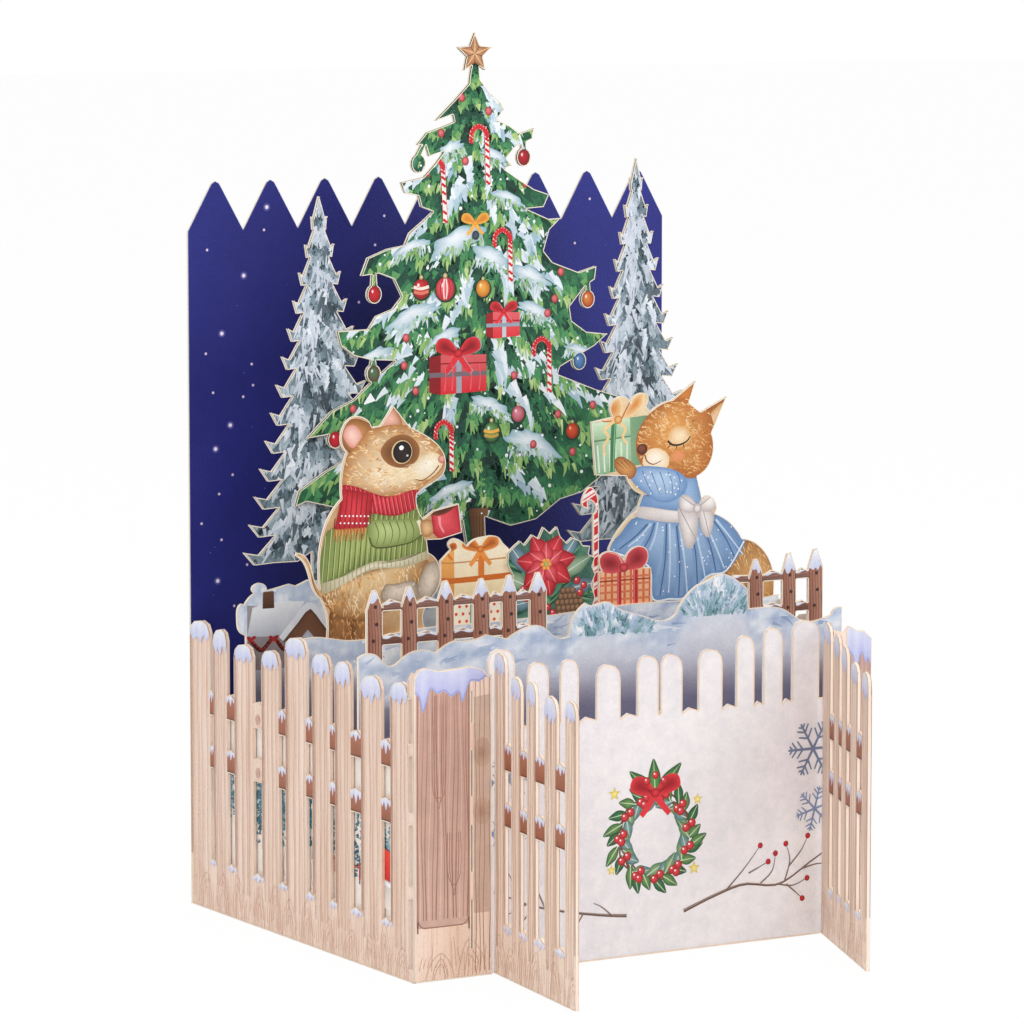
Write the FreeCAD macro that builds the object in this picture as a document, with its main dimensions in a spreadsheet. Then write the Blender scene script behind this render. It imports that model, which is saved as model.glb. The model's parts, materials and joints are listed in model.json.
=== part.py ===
import FreeCAD, Part
import math
import os

# A pop up box card: a folded card tube that stands open, with three snow layers across it, die cut
# figures glued to the layers, a tall night sky panel at the back and two picket gates at the front.
# Millimetres. +Z is up and the front faces -Y. The origin is on the table, under the middle of the
# front panel's card. Depths are measured back from the front of the tube.

doc = FreeCAD.newDocument("pop_up_card")
sizes = doc.addObject("Spreadsheet::Sheet", "sizes")

VALUES = [
    ("card", 0.6, "thickness of the card"),
    ("gap", 0.3, "clearance between pieces that aren't glued face to face"),
    ("tube_width", 120.0, "outside width of the tube at the back"),
    ("tube_depth", 98.5, "outside depth of the tube"),
    ("sky_shoulder", 145.9, "height of the sky panel between its points"),
    ("sky_rise", 10.6, "rise of each point above the shoulder"),
    ("sky_points", 9.0, "number of points on the sky panel"),
    ("board_top", 10.8, "height of the solid board under the fence windows"),
    ("rail_low", 31.2, "underside of the lower rail"),
    ("rail_low_top", 35.8, "top of the lower rail"),
    ("rail_high", 42.6, "underside of the upper rail"),
    ("rail_high_top", 47.8, "top of the upper rail"),
    ("panel_top", 50.2, "height of the front panel between its pickets"),
    ("liner_height", 46.0, "height of the inner tube's side walls"),
    ("post_width", 17.9, "width of the left post"),
    ("post_fold", 13.1, "distance from the post's outer edge to its slit line"),
    ("slit", 0.4, "width of the slits in the posts"),
    ("corner_slit", 1.6, "width of the slits along the left front corner"),
    ("hinge_left", 18.2, "left gate's crease, from the tube's left side"),
    ("right_post", 20.9, "right gate's crease, from the tube's right side"),
    ("gate_meeting", 49.85, "where the closed gates meet, in percent of the way from crease to crease"),
    ("left_open", 97.0, "how far the left gate stands open, in degrees"),
    ("right_open", 69.0, "how far the right gate stands open, in degrees"),
    ("right_fold", 15.8, "the right post's bend, from the tube's right side"),
    ("right_bend", 32.0, "how far the right post's outer strip is bent back, in degrees"),
    ("bow", 24.6, "depth at which the right wall is back at the full width"),
    ("layer_base", 12.0, "height of the snow layers' lower edge"),
    ("snow_level", 60.0, "height that the snow layers' profiles are measured from"),
    ("fence_rail", 73.9, "top of the garden fences' upper rail"),
    ("fence_spread", 7.0, "distance from the garden fences' upper rail to the lower one"),
    ("fence_batten", 1.9, "height of the garden fences' rails"),
    ("foot", 54.0, "height of the figures' glued lower edge"),
    ("mouse_height", 57.3, "height of the mouse figure above its lower edge"),
    ("squirrel_height", 59.1, "height of the squirrel figure above its lower edge"),
    ("parcels_height", 28.4, "height of the stacked parcels above their lower edge"),
    ("posy_height", 29.6, "height of the flower arrangement above its lower edge"),
    ("plaid_height", 24.1, "height of the checked parcel above its lower edge"),
    ("cane_below", 2.4, "clearance from the candy cane's top to the squirrel's parcel above it"),
    ("cane_beside", 1.85, "clearance from the candy cane to the squirrel's skirt"),
    ("tree_height", 134.5, "height of the green tree's top above its lower edge"),
    ("tree_foot", 50.0, "height of the green tree's lower edge"),
    ("star_radius", 4.5, "radius of the star on the tree"),
    ("left_spruce_top", 154.0, "height of the left frosted tree's tip"),
    ("right_spruce_top", 160.3, "height of the right frosted tree's tip"),
    ("spruce_skirt", 77.5, "height of the frosted trees' lowest branches"),
    ("spruce_reach", 18.4, "reach of the frosted trees' lowest branches"),
]
for row, (alias, value, note) in enumerate(VALUES, start=1):
    sizes.set("A%d" % row, note)
    sizes.set("B%d" % row, str(value))
    sizes.setAlias("B%d" % row, alias)
doc.recompute()


def size(alias):
    return float(getattr(sizes, alias))


card = size("card")
gap = size("gap")
tube_width = size("tube_width")
tube_depth = size("tube_depth")
left = -tube_width / 2
front_face = -(card + gap + card / 2)
layer_pitch = tube_depth / 4

sub_parts = []


# Sketches and bodies

def plane_of(body, role):
    return next(f for f in body.Origin.OriginFeatures if f.Role == role)


def outline_edges(points):
    """Edges through the points: straight between two corners, a smooth curve along the rest.

    A point with a third value of 1 is a corner. A run of points from one corner to the next is one
    spline, and a list with no corner at all is one closed spline.
    """
    vectors = [FreeCAD.Vector(p[0], p[1], 0) for p in points]
    corners = [i for i, p in enumerate(points) if len(p) > 2]
    if not corners:
        curve = Part.BSplineCurve()
        curve.interpolate(vectors, PeriodicFlag=True)
        return [curve]
    edges = []
    for number, start in enumerate(corners):
        stop = corners[(number + 1) % len(corners)]
        if stop <= start:
            stop += len(points)
        run = [vectors[i % len(points)] for i in range(start, stop + 1)]
        if len(run) == 2:
            edges.append(Part.LineSegment(run[0], run[1]))
        else:
            curve = Part.BSplineCurve()
            curve.interpolate(run)
            edges.append(curve)
    return edges


def corners_of(points):
    """The points as corners, without any that falls on the one before it."""
    kept = [p for p, before in zip(points, points[-1:] + points[:-1]) if math.dist(p[:2], before[:2]) > 0.01]
    return [(p[0], p[1], 1) for p in kept]


def sketch_of(body, role, loops, name):
    sketch = body.newObject("Sketcher::SketchObject", name)
    sketch.AttachmentSupport = [(plane_of(body, role), "")]
    sketch.MapMode = "FlatFace"
    for loop in loops:
        sketch.addGeometry(outline_edges(loop), False)
    return sketch


def pad(body, role, loops, name, length="sizes.card", turned=True):
    feature = body.newObject("PartDesign::Pad", name)
    feature.Profile = sketch_of(body, role, loops, name + "_outline")
    feature.setExpression("Length", length)
    feature.Reversed = turned
    body.Tip = feature
    return feature


def pocket(body, role, loops, name, turned=False, length=None):
    feature = body.newObject("PartDesign::Pocket", name)
    feature.Profile = sketch_of(body, role, loops, name + "_outline")
    if length is None:
        feature.Type = "ThroughAll"
    else:
        feature.setExpression("Length", length)
    feature.Reversed = turned
    body.Tip = feature
    return feature


def new_body(label):
    body = doc.addObject("PartDesign::Body", label)
    body.Label = label
    sub_parts.append(body)
    return body


def flat_piece(label, loops, front, across=0.0, foot=0.0, extras=()):
    """A piece cut from flat card, standing across the tube with its front face at the depth given."""
    body = new_body(label)
    pad(body, "XZ_Plane", loops, label + "_sheet")
    for number, loop in enumerate(extras):
        pad(body, "XZ_Plane", [loop], "%s_extra_%d" % (label, number))
    place = FreeCAD.Vector(left + across, front_face + front, foot)
    body.Placement = FreeCAD.Placement(place, FreeCAD.Rotation())
    return body


def scaled(points, height):
    """An outline given in percent of the figure's height, at its real size."""
    share = height / 100
    return [(p[0] * share, p[1] * share) + tuple(p[2:]) for p in points]


# Outlines of fences

def plank_top(start, stop, top):
    """A plank's snow cap: a soft dome that is a little higher on its left."""
    width = stop - start
    return [(start, top - 2.4), (start + 0.12 * width, top - 0.6), (start + 0.38 * width, top),
            (start + 0.75 * width, top - 0.5), (stop - 0.06 * width, top - 1.6), (stop, top - 3.2)]


def spear_top(start, stop, top):
    """A garden fence's pointed picket."""
    middle = (start + stop) / 2
    return [(start, top - 4.2), (middle - 0.5, top - 0.2), (middle + 0.4, top), (stop, top - 3.8)]


def set_out(planks, length, rail_top):
    """Planks given in percent of their panel and rise above its rail, at their real places."""
    return [(start * length / 100, stop * length / 100, rail_top + rise) for start, stop, rise in planks]


def top_profile(planks, rail_top, shape=plank_top):
    """The upper edge of a fence from its first plank to its last, with snow humps on the rail."""
    line = []
    for number, (start, stop, top) in enumerate(planks):
        if number:
            before = planks[number - 1][1]
            span = start - before
            line += [(before, rail_top - 0.6), (before + 0.45 * span, rail_top + 0.5), (start, rail_top - 0.3)]
        line += shape(start, stop, top)
    return line


def windows(planks, lower, upper, hump=0.5):
    """The openings between neighbouring planks from one rail to the next, with a hump of snow below."""
    loops = []
    for (a0, a1, a2), (b0, b1, b2) in zip(planks, planks[1:]):
        middle = (a1 + b0) / 2
        bottom = [(a1, lower), (middle, lower + hump), (b0, lower - 0.2)]
        loops.append(corners_of(bottom + [(b0, upper), (a1, upper)]))
    return loops


def fence_windows(planks):
    loops = windows(planks, size("board_top"), size("rail_low"), 0.9)
    return loops + windows(planks, size("rail_low_top"), size("rail_high"))


# Planks: where each starts and stops in percent of its panel's length, and its rise above the rail.
# The walls' planks are counted from the front, the gates' from the crease, the others from the left.

WALL_PLANKS = [(2.23, 9.44, 12.8), (13.4, 21.93, 12.6), (26.4, 33.1, 14.0), (35.43, 43.05, 14.4),
               (45.89, 55.03, 16.4), (58.17, 65.79, 12.3), (70.05, 78.48, 12.1), (82.03, 88.32, 14.0),
               (90.05, 99.39, 14.8)]
LEFT_GATE_PLANKS = [(0.75, 14.25, 18.3), (21.75, 33.5, 14.5), (41.25, 52.0, 14.6), (62.75, 77.0, 13.0),
                    (87.25, 100.0, 13.4)]
RIGHT_GATE_PLANKS = [(0.74, 17.37, 18.8), (25.81, 37.47, 17.6), (43.18, 54.09, 16.1),
                     (62.78, 77.17, 14.0), (87.1, 100.0, 13.4)]
PANEL_PLANKS = [(14.67, 19.92, 16.0), (22.42, 26.58, 12.7), (28.92, 32.5, 12.8), (36.08, 40.83, 11.0),
                (44.25, 48.5, 12.2), (49.0, 53.33, 12.0), (56.67, 61.5, 12.4), (64.42, 68.08, 14.6),
                (70.0, 73.92, 15.8), (76.0, 81.58, 16.8)]
LEFT_PICKETS = [(2.42, 5.5, 2.6), (9.17, 12.33, 2.9), (16.25, 19.58, 3.5), (23.25, 26.67, 3.4),
                (29.0, 32.0, 3.7), (34.58, 38.0, 3.8)]
RIGHT_PICKETS = [(79.83, 82.92, 3.1), (86.92, 89.92, 3.9), (92.5, 95.67, 4.4)]
# The posts' tops: the share of the post's width, and the rise above the rail.
LEFT_POST_TOP = [(0.0, 13.8), (0.05, 15.5), (0.145, 16.0), (0.31, 15.1), (0.73, 15.5), (0.89, 14.8),
                 (0.95, 13.4)]
RIGHT_POST_TOP = [(0.0, 16.8), (0.1, 16.6), (0.21, 16.0), (0.3, 17.1), (0.49, 15.5), (0.62, 15.1),
                  (0.8, 12.8)]
SLIT_HEIGHTS = [(5.8, 15.8), (21.5, 31.0), (37.0, 46.3), (51.8, 58.3)]
CORNER_SLITS = [(2.5, 17.0), (19.5, 32.0), (34.5, 46.0), (48.5, 57.5)]
ABOVE = 90.0


# The tube: two folded side pieces and a folded liner inside them

def inset(path, distance):
    """The path moved to its left by a distance, with each corner on the line that halves its turn."""
    moved = []
    for i, (x, y) in enumerate(path):
        normals = []
        for a, b in ((i - 1, i), (i, i + 1)):
            if 0 <= a and b < len(path):
                run = math.hypot(path[b][0] - path[a][0], path[b][1] - path[a][1])
                normals.append(((path[a][1] - path[b][1]) / run, (path[b][0] - path[a][0]) / run))
        nx = sum(n[0] for n in normals) / len(normals)
        ny = sum(n[1] for n in normals) / len(normals)
        stretch = distance / (nx * nx + ny * ny)
        moved.append((x + nx * stretch, y + ny * stretch))
    return moved


def ribbon(path, near, far):
    """The plan of a folded card whose faces lie at two distances inside a path."""
    return corners_of(inset(path, near) + inset(path, far)[::-1])


back_face = tube_depth - card
bend = math.radians(size("right_bend"))
hinge_left = size("hinge_left")
hinge_right = tube_width - size("right_post")
right_fold = tube_width - size("right_fold")
rail_top = size("rail_high_top")
wall_planks = set_out(WALL_PLANKS, tube_depth, rail_top)
strip = size("post_fold")
right_corner = (right_fold + strip * math.cos(bend), strip * math.sin(bend))
bow = size("bow")
right_path = [(hinge_right + gap, 0.0), (right_fold, 0.0), right_corner, (tube_width, bow),
              (tube_width, back_face)]
left_path = [(0.0, back_face), (0.0, 0.0), (size("post_width"), 0.0)]
liner_path = left_path[:2] + right_path[1:]
placed = FreeCAD.Placement(FreeCAD.Vector(left, front_face, 0), FreeCAD.Rotation())

left_side = new_body("left_fence_side")
pad(left_side, "XY_Plane", [ribbon(left_path, 0, card)], "left_fence_fold", "70", False)
wall_top = top_profile(wall_planks, rail_top)
wall_waste = corners_of([(wall_planks[0][0], ABOVE)] + wall_top
                        + [(tube_depth, wall_top[-1][1]), (tube_depth, ABOVE)])
slit_back = card + size("corner_slit")
corner_cuts = [corners_of([(card, low), (slit_back, low), (slit_back, high), (card, high)])
               for low, high in CORNER_SLITS]
pocket(left_side, "YZ_Plane", [wall_waste] + fence_windows(wall_planks) + corner_cuts, "left_fence_gaps", True)
post_width = size("post_width")
left_top = [(share * post_width, rail_top + rise) for share, rise in LEFT_POST_TOP]
post_waste = corners_of([(-1.0, ABOVE), (-1.0, left_top[0][1])] + left_top
                        + [(post_width + 1, left_top[-1][1]), (post_width + 1, ABOVE)])
slits = [corners_of([(strip, low), (strip + size("slit"), low), (strip + size("slit"), high), (strip, high)])
         for low, high in SLIT_HEIGHTS]
pocket(left_side, "XZ_Plane", [post_waste] + slits, "left_post_top", False, "sizes.card + sizes.corner_slit")
left_side.Placement = placed

right_side = new_body("right_fence_side")
pad(right_side, "XY_Plane", [ribbon(right_path, 0, card)], "right_fence_fold", "70", False)
rear_planks = [(right_corner[1] + 2 * card,) + wall_planks[0][1:]] + wall_planks[1:]
rear_top = top_profile(rear_planks, rail_top)
rear_waste = corners_of([(rear_planks[0][0], ABOVE)] + rear_top
                        + [(tube_depth, rear_top[-1][1]), (tube_depth, ABOVE)])
pocket(right_side, "YZ_Plane", [rear_waste] + fence_windows(rear_planks), "right_fence_gaps", True)
right_top = [(hinge_right + share * size("right_post"), rail_top + rise) for share, rise in RIGHT_POST_TOP]
right_waste = corners_of([(hinge_right - 1, ABOVE), (hinge_right - 1, right_top[0][1])] + right_top
                         + [(tube_width + 1, right_top[-1][1]), (tube_width + 1, ABOVE)])
right_slits = [corners_of([(right_fold - size("slit"), low), (right_fold, low), (right_fold, high),
                           (right_fold - size("slit"), high)]) for low, high in SLIT_HEIGHTS]
pocket(right_side, "XZ_Plane", [right_waste] + right_slits, "right_post_top", False, "sizes.card * 3 + 7")
right_side.Placement = placed

liner = new_body("message_liner")
near = card + gap
pad(liner, "XY_Plane", [ribbon(liner_path, near, near + card)], "liner_fold", "70", False)
panel_rail = size("panel_top")
panel_planks = set_out(PANEL_PLANKS, tube_width, panel_rail)
panel_top = top_profile(panel_planks, panel_rail)
panel_waste = corners_of([(-1.0, ABOVE), (-1.0, panel_rail), (panel_planks[0][0], panel_rail)] + panel_top
                         + [(panel_planks[-1][1], panel_rail), (tube_width + 1, panel_rail),
                            (tube_width + 1, ABOVE)])
pocket(liner, "XZ_Plane", [panel_waste], "liner_pickets")
side_waste = corners_of([(near + 3 * card, size("liner_height")), (tube_depth, size("liner_height")),
                         (tube_depth, ABOVE), (near + 3 * card, ABOVE)])
pocket(liner, "YZ_Plane", [side_waste], "liner_sides", True)
liner.Placement = placed


# The night sky panel

def sky_outline():
    points = int(round(size("sky_points")))
    pitch = tube_width / points
    shoulder = size("sky_shoulder")
    rise = size("sky_rise")
    blunt = 1.5
    loop = [(0.0, 0.0), (tube_width, 0.0), (tube_width, shoulder)]
    for number in reversed(range(points)):
        middle = (number + 0.5) * pitch
        loop += [(middle + blunt, shoulder + rise - 1.5), (middle + 0.6 * blunt, shoulder + rise - 0.5),
                 (middle, shoulder + rise), (middle - 0.6 * blunt, shoulder + rise - 0.5),
                 (middle - blunt, shoulder + rise - 1.5)]
        loop.append((number * pitch, shoulder))
    return corners_of(loop)


flat_piece("night_sky_panel", [sky_outline()], back_face)


# Gates, cut flat, then turned about their creases

def gate_loops(planks, side):
    """A gate's outline and windows; side is 1 where the gate runs to the right from its crease."""
    last = planks[-1][1]
    first = planks[0][0]
    outer = corners_of([(first, gap), (last, gap)] + top_profile(planks, size("rail_high_top"))[::-1])
    return [[(side * p[0],) + tuple(p[1:]) for p in loop] for loop in [outer] + fence_windows(planks)]


hinge_depth = -0.2
gate_meeting = hinge_left + (hinge_right - hinge_left) * size("gate_meeting") / 100
for label, planks, crease, side, opened in (
        ("left_gate", LEFT_GATE_PLANKS, hinge_left, 1, "left_open"),
        ("right_gate", RIGHT_GATE_PLANKS, hinge_right, -1, "right_open")):
    gate = new_body(label)
    fitted = set_out(planks, side * (gate_meeting - crease) - gap, rail_top)
    pad(gate, "XZ_Plane", gate_loops(fitted, side), label + "_sheet")
    turn = FreeCAD.Rotation(FreeCAD.Vector(0, 0, 1), -side * size(opened))
    pivot = FreeCAD.Vector(left + crease, front_face + hinge_depth, 0)
    gate.Placement = FreeCAD.Placement(pivot + turn.multVec(FreeCAD.Vector(0, -hinge_depth, 0)), turn)


# Snow layers: the profile is in percent of the width across and millimetres above the snow level

FRONT_SNOW = [(0.5, 2.9, 1), (2.0, 3.6), (3.9, 3.3), (5.8, 1.2), (6.7, 0.7), (9.6, 2.5), (12.8, 3.5),
              (15.7, 2.6, 1), (17.1, 3.8), (19.2, 4.8, 1), (22.4, 4.6), (25.7, 5.6, 1), (29.9, 4.4, 1),
              (31.9, 5.7), (36.9, 6.3), (39.1, 4.3), (42.3, 3.8, 1), (42.8, 6.8), (43.7, 8.6),
              (45.7, 10.5, 1), (47.3, 9.9), (50.2, 10.4), (52.4, 8.9), (55.3, 7.7), (59.0, 6.2),
              (61.8, 5.5), (64.2, 6.6, 1), (65.9, 9.7), (68.8, 12.5, 1), (71.7, 13.7), (74.2, 14.4),
              (75.9, 13.7), (79.2, 10.9, 1), (79.5, 6.5, 1), (83.0, 6.6), (86.9, 5.9), (91.3, 2.9),
              (94.3, 2.9), (97.2, 3.8, 1), (97.8, 4.9), (99.5, 5.3, 1)]
MIDDLE_SNOW = [(0.5, 3.6, 1), (4.0, 3.9), (9.5, 2.8), (20.0, 3.6), (35.0, 4.2), (52.0, 4.7), (66.0, 5.6),
               (83.0, 5.2), (92.0, 4.6), (99.5, 5.2, 1)]
REAR_SNOW = [(0.5, 1.5, 1), (-0.9, 2.8), (-1.2, 5.6), (-0.8, 8.0), (-0.3, 8.4), (0.2, 7.9, 1),
             (0.9, 9.2), (2.2, 10.4, 1), (1.8, 11.7), (2.8, 12.5), (4.3, 12.1), (4.7, 10.8, 1),
             (9.3, 11.9, 1), (10.6, 11.4, 1), (13.0, 12.5, 1), (18.0, 11.5), (25.0, 10.0), (40.0, 9.0),
             (55.0, 9.5), (70.0, 8.5), (85.0, 9.5), (99.5, 8.0, 1)]


def snow_layer(label, profile, depth):
    """A layer across the tube: narrow below, where the liner is, and wide above it."""
    snow = size("snow_level")
    inner = near + card
    wide = [(tube_width * p[0] / 100, snow + p[1]) + tuple(p[2:]) for p in profile]
    step = size("liner_height") + gap
    base = size("layer_base")
    loop = corners_of([(card, step), (inner, step), (inner, base), (tube_width - inner, base),
                       (tube_width - inner, step), (tube_width - card, step)]) + wide[::-1]
    return flat_piece(label, [loop], depth - card)


front_layer = layer_pitch
middle_layer = 2 * layer_pitch
rear_layer = 3 * layer_pitch
snow_layer("front_snow_layer", FRONT_SNOW, front_layer)
snow_layer("middle_snow_layer", MIDDLE_SNOW, middle_layer)
snow_layer("rear_snow_layer", REAR_SNOW, rear_layer)


# The small brown fences glued behind the front snow

def garden_fence(label, pickets, stub):
    """A picket fence with two rails; a stub of the upper rail may run out to its left."""
    high_top = size("fence_rail")
    high = high_top - size("fence_batten")
    low_top = high_top - size("fence_spread")
    low = low_top - size("fence_batten")
    base = size("foot")
    strip_top = size("snow_level")
    pickets = set_out(pickets, tube_width, high_top)
    first = pickets[0][0]
    last = pickets[-1][1]
    profile = top_profile(pickets, high_top, spear_top)
    side = []
    if stub:
        side = [(first, high_top - 0.3), (first - stub, high_top), (first - stub, high + 0.2), (first, high)]
    outer = corners_of(side + [(first, base), (last, base)] + profile[::-1])
    loops = windows(pickets, low_top, high) + windows(pickets, strip_top, low)
    return flat_piece(label, [outer] + loops, front_layer)


garden_fence("left_garden_fence", LEFT_PICKETS, 0)
garden_fence("right_garden_fence", RIGHT_PICKETS, 4.0)


# Figures, in percent of their heights from the middle of the lower edge

MOUSE = [(22.9, 79.0), (15.5, 88.0), (8.0, 91.8, 1), (1.0, 100.0, 1), (-4.2, 93.0, 1), (-8.0, 92.6, 1),
         (-11.0, 96.2), (-15.8, 96.8), (-20.4, 91.6), (-18.4, 84.0, 1), (-20.6, 75.6), (-20.6, 67.0, 1),
         (-27.0, 58.4), (-30.0, 45.0), (-29.4, 31.4, 1), (-27.2, 26.0), (-26.7, 16.6, 1),
         (-26.7, 0.0, 1), (13.8, 0.0, 1), (13.8, 18.0, 1), (14.8, 26.0), (19.4, 31.5), (20.0, 40.5),
         (15.5, 45.2, 1), (14.8, 50.0, 1), (20.8, 49.8, 1), (29.8, 51.8, 1), (28.4, 62.6, 1),
         (17.8, 60.6, 1), (13.4, 57.8, 1), (11.0, 62.0), (10.6, 66.8, 1), (15.0, 69.8), (22.2, 74.5)]
MOUSE_TAIL = [(-28.2, 30.5, 1), (-32.0, 34.0), (-34.4, 41.0), (-39.4, 47.4, 1), (-39.0, 48.6, 1),
              (-35.2, 46.6), (-32.6, 40.2), (-28.2, 33.5, 1), (-26.5, 32.0, 1)]
SQUIRREL = [(-39.4, 87.0, 1), (-37.6, 67.5, 1), (-24.5, 66.5, 1), (-21.4, 61.4), (-17.6, 59.4, 1),
            (-20.0, 53.5, 1), (-26.8, 48.0), (-32.0, 40.3, 1), (-33.0, 18.0, 1), (-16.0, 17.0, 1),
            (-16.0, 0.0, 1), (-3.0, 0.0, 1), (-3.6, 10.0, 1), (-6.2, 16.6, 1), (18.1, 19.0, 1),
            (20.0, 0.0, 1), (37.5, 0.0, 1), (39.4, 14.0), (39.0, 30.0), (33.6, 37.4), (25.9, 40.5, 1),
            (20.1, 47.2), (13.8, 50.6, 1), (14.4, 54.0), (11.2, 57.4), (8.4, 55.8, 1), (6.0, 64.8, 1),
            (11.2, 68.7), (13.2, 74.8), (12.2, 80.4, 1), (18.8, 93.6, 1), (7.4, 88.4, 1), (2.4, 92.0, 1),
            (5.2, 100.0, 1), (-4.6, 93.4, 1), (-9.6, 92.2), (-14.4, 89.4, 1), (-16.0, 91.6, 1),
            (-16.4, 96.4), (-18.4, 96.6), (-22.6, 91.8, 1), (-25.4, 95.6), (-29.6, 94.8),
            (-30.4, 88.4, 1)]
PARCELS = [(-31.3, 84.0, 1), (-22.2, 92.0, 1), (-24.0, 97.4), (-20.8, 100.0), (-14.0, 98.4),
           (-8.2, 93.6, 1), (-2.0, 98.4), (6.0, 99.8), (17.0, 99.6), (22.2, 94.6, 1), (30.6, 87.0, 1),
           (31.3, 67.0, 1), (29.4, 65.6, 1), (29.4, 0.0, 1), (-27.0, 0.0, 1), (-27.0, 64.0, 1),
           (-31.0, 64.6, 1)]
POSY = [(-38.0, 83.1), (-33.0, 87.4), (-27.7, 91.2), (-24.4, 87.8), (-17.6, 95.0), (-12.4, 92.0),
        (-8.4, 100.0), (-2.6, 95.0), (3.0, 99.6), (5.8, 92.4), (11.1, 87.2), (16.0, 91.0), (22.0, 88.6),
        (24.8, 84.6), (31.0, 84.0), (29.6, 78.0), (35.2, 75.4), (32.6, 69.0), (35.6, 63.0), (32.0, 56.0),
        (35.4, 46.0), (32.4, 38.0), (33.0, 0.0), (-33.8, 0.0), (-35.4, 30.0), (-39.4, 48.0),
        (-35.0, 56.0), (-33.6, 66.0), (-38.6, 75.0)]
PLAID = [(-27.0, 79.6, 1), (-27.0, 0.0, 1), (28.0, 0.0, 1), (28.0, 79.6, 1), (19.6, 80.6, 1),
         (24.8, 88.0), (23.0, 96.6), (14.1, 99.8), (5.4, 96.4), (-0.4, 87.6, 1), (-7.0, 94.4),
         (-16.6, 97.0), (-26.0, 92.4), (-25.8, 83.0), (-23.4, 79.6, 1)]
CANE = [(5.0, 0.0, 1), (5.0, 84.0, 1), (4.6, 91.0), (3.0, 96.6), (-0.6, 99.8), (-4.4, 96.8),
        (-5.6, 88.6, 1), (-1.9, 87.2, 1), (-0.9, 92.4), (0.6, 91.6), (1.2, 84.0, 1), (1.2, 0.0, 1)]

behind_snow = middle_layer
second_row = behind_snow + card
foot = size("foot")


def figure(label, outline, tall, front, across, extras=()):
    """A figure glued behind the middle snow layer, at its height, with its middle that far across."""
    return flat_piece(label, [scaled(outline, tall)], front, across * tube_width / 100, foot,
                      [scaled(e, tall) for e in extras])


figure("mouse", MOUSE, size("mouse_height"), behind_snow, 18.67, [MOUSE_TAIL])
squirrel_height = size("squirrel_height")
squirrel_place = 79.33
figure("squirrel", SQUIRREL, squirrel_height, second_row, squirrel_place)
figure("stacked_parcels", PARCELS, size("parcels_height"), second_row, 36.25)
figure("flower_arrangement", corners_of(POSY), size("posy_height"), behind_snow, 51.67)
figure("checked_parcel", PLAID, size("plaid_height"), behind_snow, 66.67)

# The candy cane stands under the squirrel's parcel and beside its skirt.
parcel_bottom = 0.675 * squirrel_height
skirt_reach = 0.33 * squirrel_height
cane_height = parcel_bottom - size("cane_below")
cane_across = skirt_reach + 0.05 * cane_height + size("cane_beside")
figure("candy_cane", CANE, cane_height, second_row, squirrel_place - 100 * cane_across / tube_width)


# The green tree, in percent of its height from the middle of its lower edge

TREE_LEFT = [(-0.9, 98.4), (-1.4, 96.2), (-1.6, 94.6), (-4.3, 92.0), (-7.9, 88.8), (-6.2, 89.3),
             (-4.6, 89.8), (-4.3, 88.6), (-6.7, 87.8), (-9.4, 87.0), (-11.3, 85.0), (-9.6, 85.2),
             (-9.0, 83.2), (-6.1, 84.0), (-7.8, 82.0), (-10.0, 79.9), (-14.1, 79.2), (-13.4, 77.5),
             (-10.9, 77.0), (-10.4, 75.2), (-8.2, 74.4), (-10.2, 72.8), (-12.5, 71.1), (-13.4, 69.2),
             (-16.5, 68.7), (-20.1, 67.4), (-21.3, 64.6), (-18.1, 64.9), (-15.4, 63.9), (-13.9, 61.0),
             (-15.6, 59.1), (-18.6, 58.1), (-20.0, 56.1), (-25.7, 56.0), (-25.1, 53.7), (-22.7, 52.0),
             (-19.6, 51.2), (-15.1, 50.9), (-19.6, 47.6), (-22.7, 45.0), (-26.8, 43.3), (-31.1, 39.3),
             (-26.8, 39.8), (-23.8, 35.8), (-27.9, 33.8), (-32.6, 31.0), (-33.4, 28.6), (-31.4, 29.3),
             (-25.4, 27.8), (-19.6, 25.8), (-14.4, 26.4), (-10.0, 23.6), (-6.0, 25.4), (-2.9, 24.6),
             (-2.0, 19.8), (-2.2, 0.0)]
TREE_RIGHT = [(2.2, 0.0), (1.4, 19.8), (1.2, 25.0), (6.0, 23.2), (10.8, 24.0), (15.4, 27.0),
              (19.4, 27.9), (24.0, 30.8), (30.8, 37.2), (28.2, 42.8), (22.2, 44.6), (14.9, 47.4),
              (15.3, 48.6), (21.9, 51.8), (24.3, 53.6), (20.3, 54.1), (17.5, 56.0), (17.1, 58.3),
              (20.0, 61.5), (21.9, 62.6), (22.2, 64.7), (18.9, 63.8), (13.9, 65.6), (12.2, 67.5),
              (13.3, 70.9), (15.4, 72.7), (13.2, 72.6), (8.9, 74.4), (12.2, 74.6), (13.2, 76.6),
              (10.4, 77.5), (7.5, 79.2), (4.8, 80.9), (6.2, 81.4), (5.2, 82.6), (6.8, 84.3),
              (10.1, 85.6), (10.4, 87.3), (7.7, 86.5), (5.8, 87.8), (3.4, 88.8), (4.8, 90.4),
              (4.3, 91.4), (2.1, 93.2), (0.4, 95.2), (0.1, 98.4)]
# Drop baubles: where each hangs from, and the middle of the bauble
DROPS = [((-9.4, 86.1), (-10.9, 82.1)), ((-19.0, 65.2), (-19.0, 61.6)), ((-19.2, 51.6), (-19.2, 49.0)),
         ((8.6, 86.0), (8.5, 82.7)), ((20.6, 62.6), (20.6, 59.4)), ((19.0, 53.0), (19.0, 49.4)),
         ((-26.2, 42.9), (-26.2, 38.9))]


def star_outline(middle, radius):
    loop = []
    for number in range(10):
        angle = math.pi / 2 + number * math.pi / 5
        reach = radius if number % 2 == 0 else 0.46 * radius
        loop.append((middle[0] + reach * math.cos(angle), middle[1] + reach * math.sin(angle), 1))
    return loop


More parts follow.
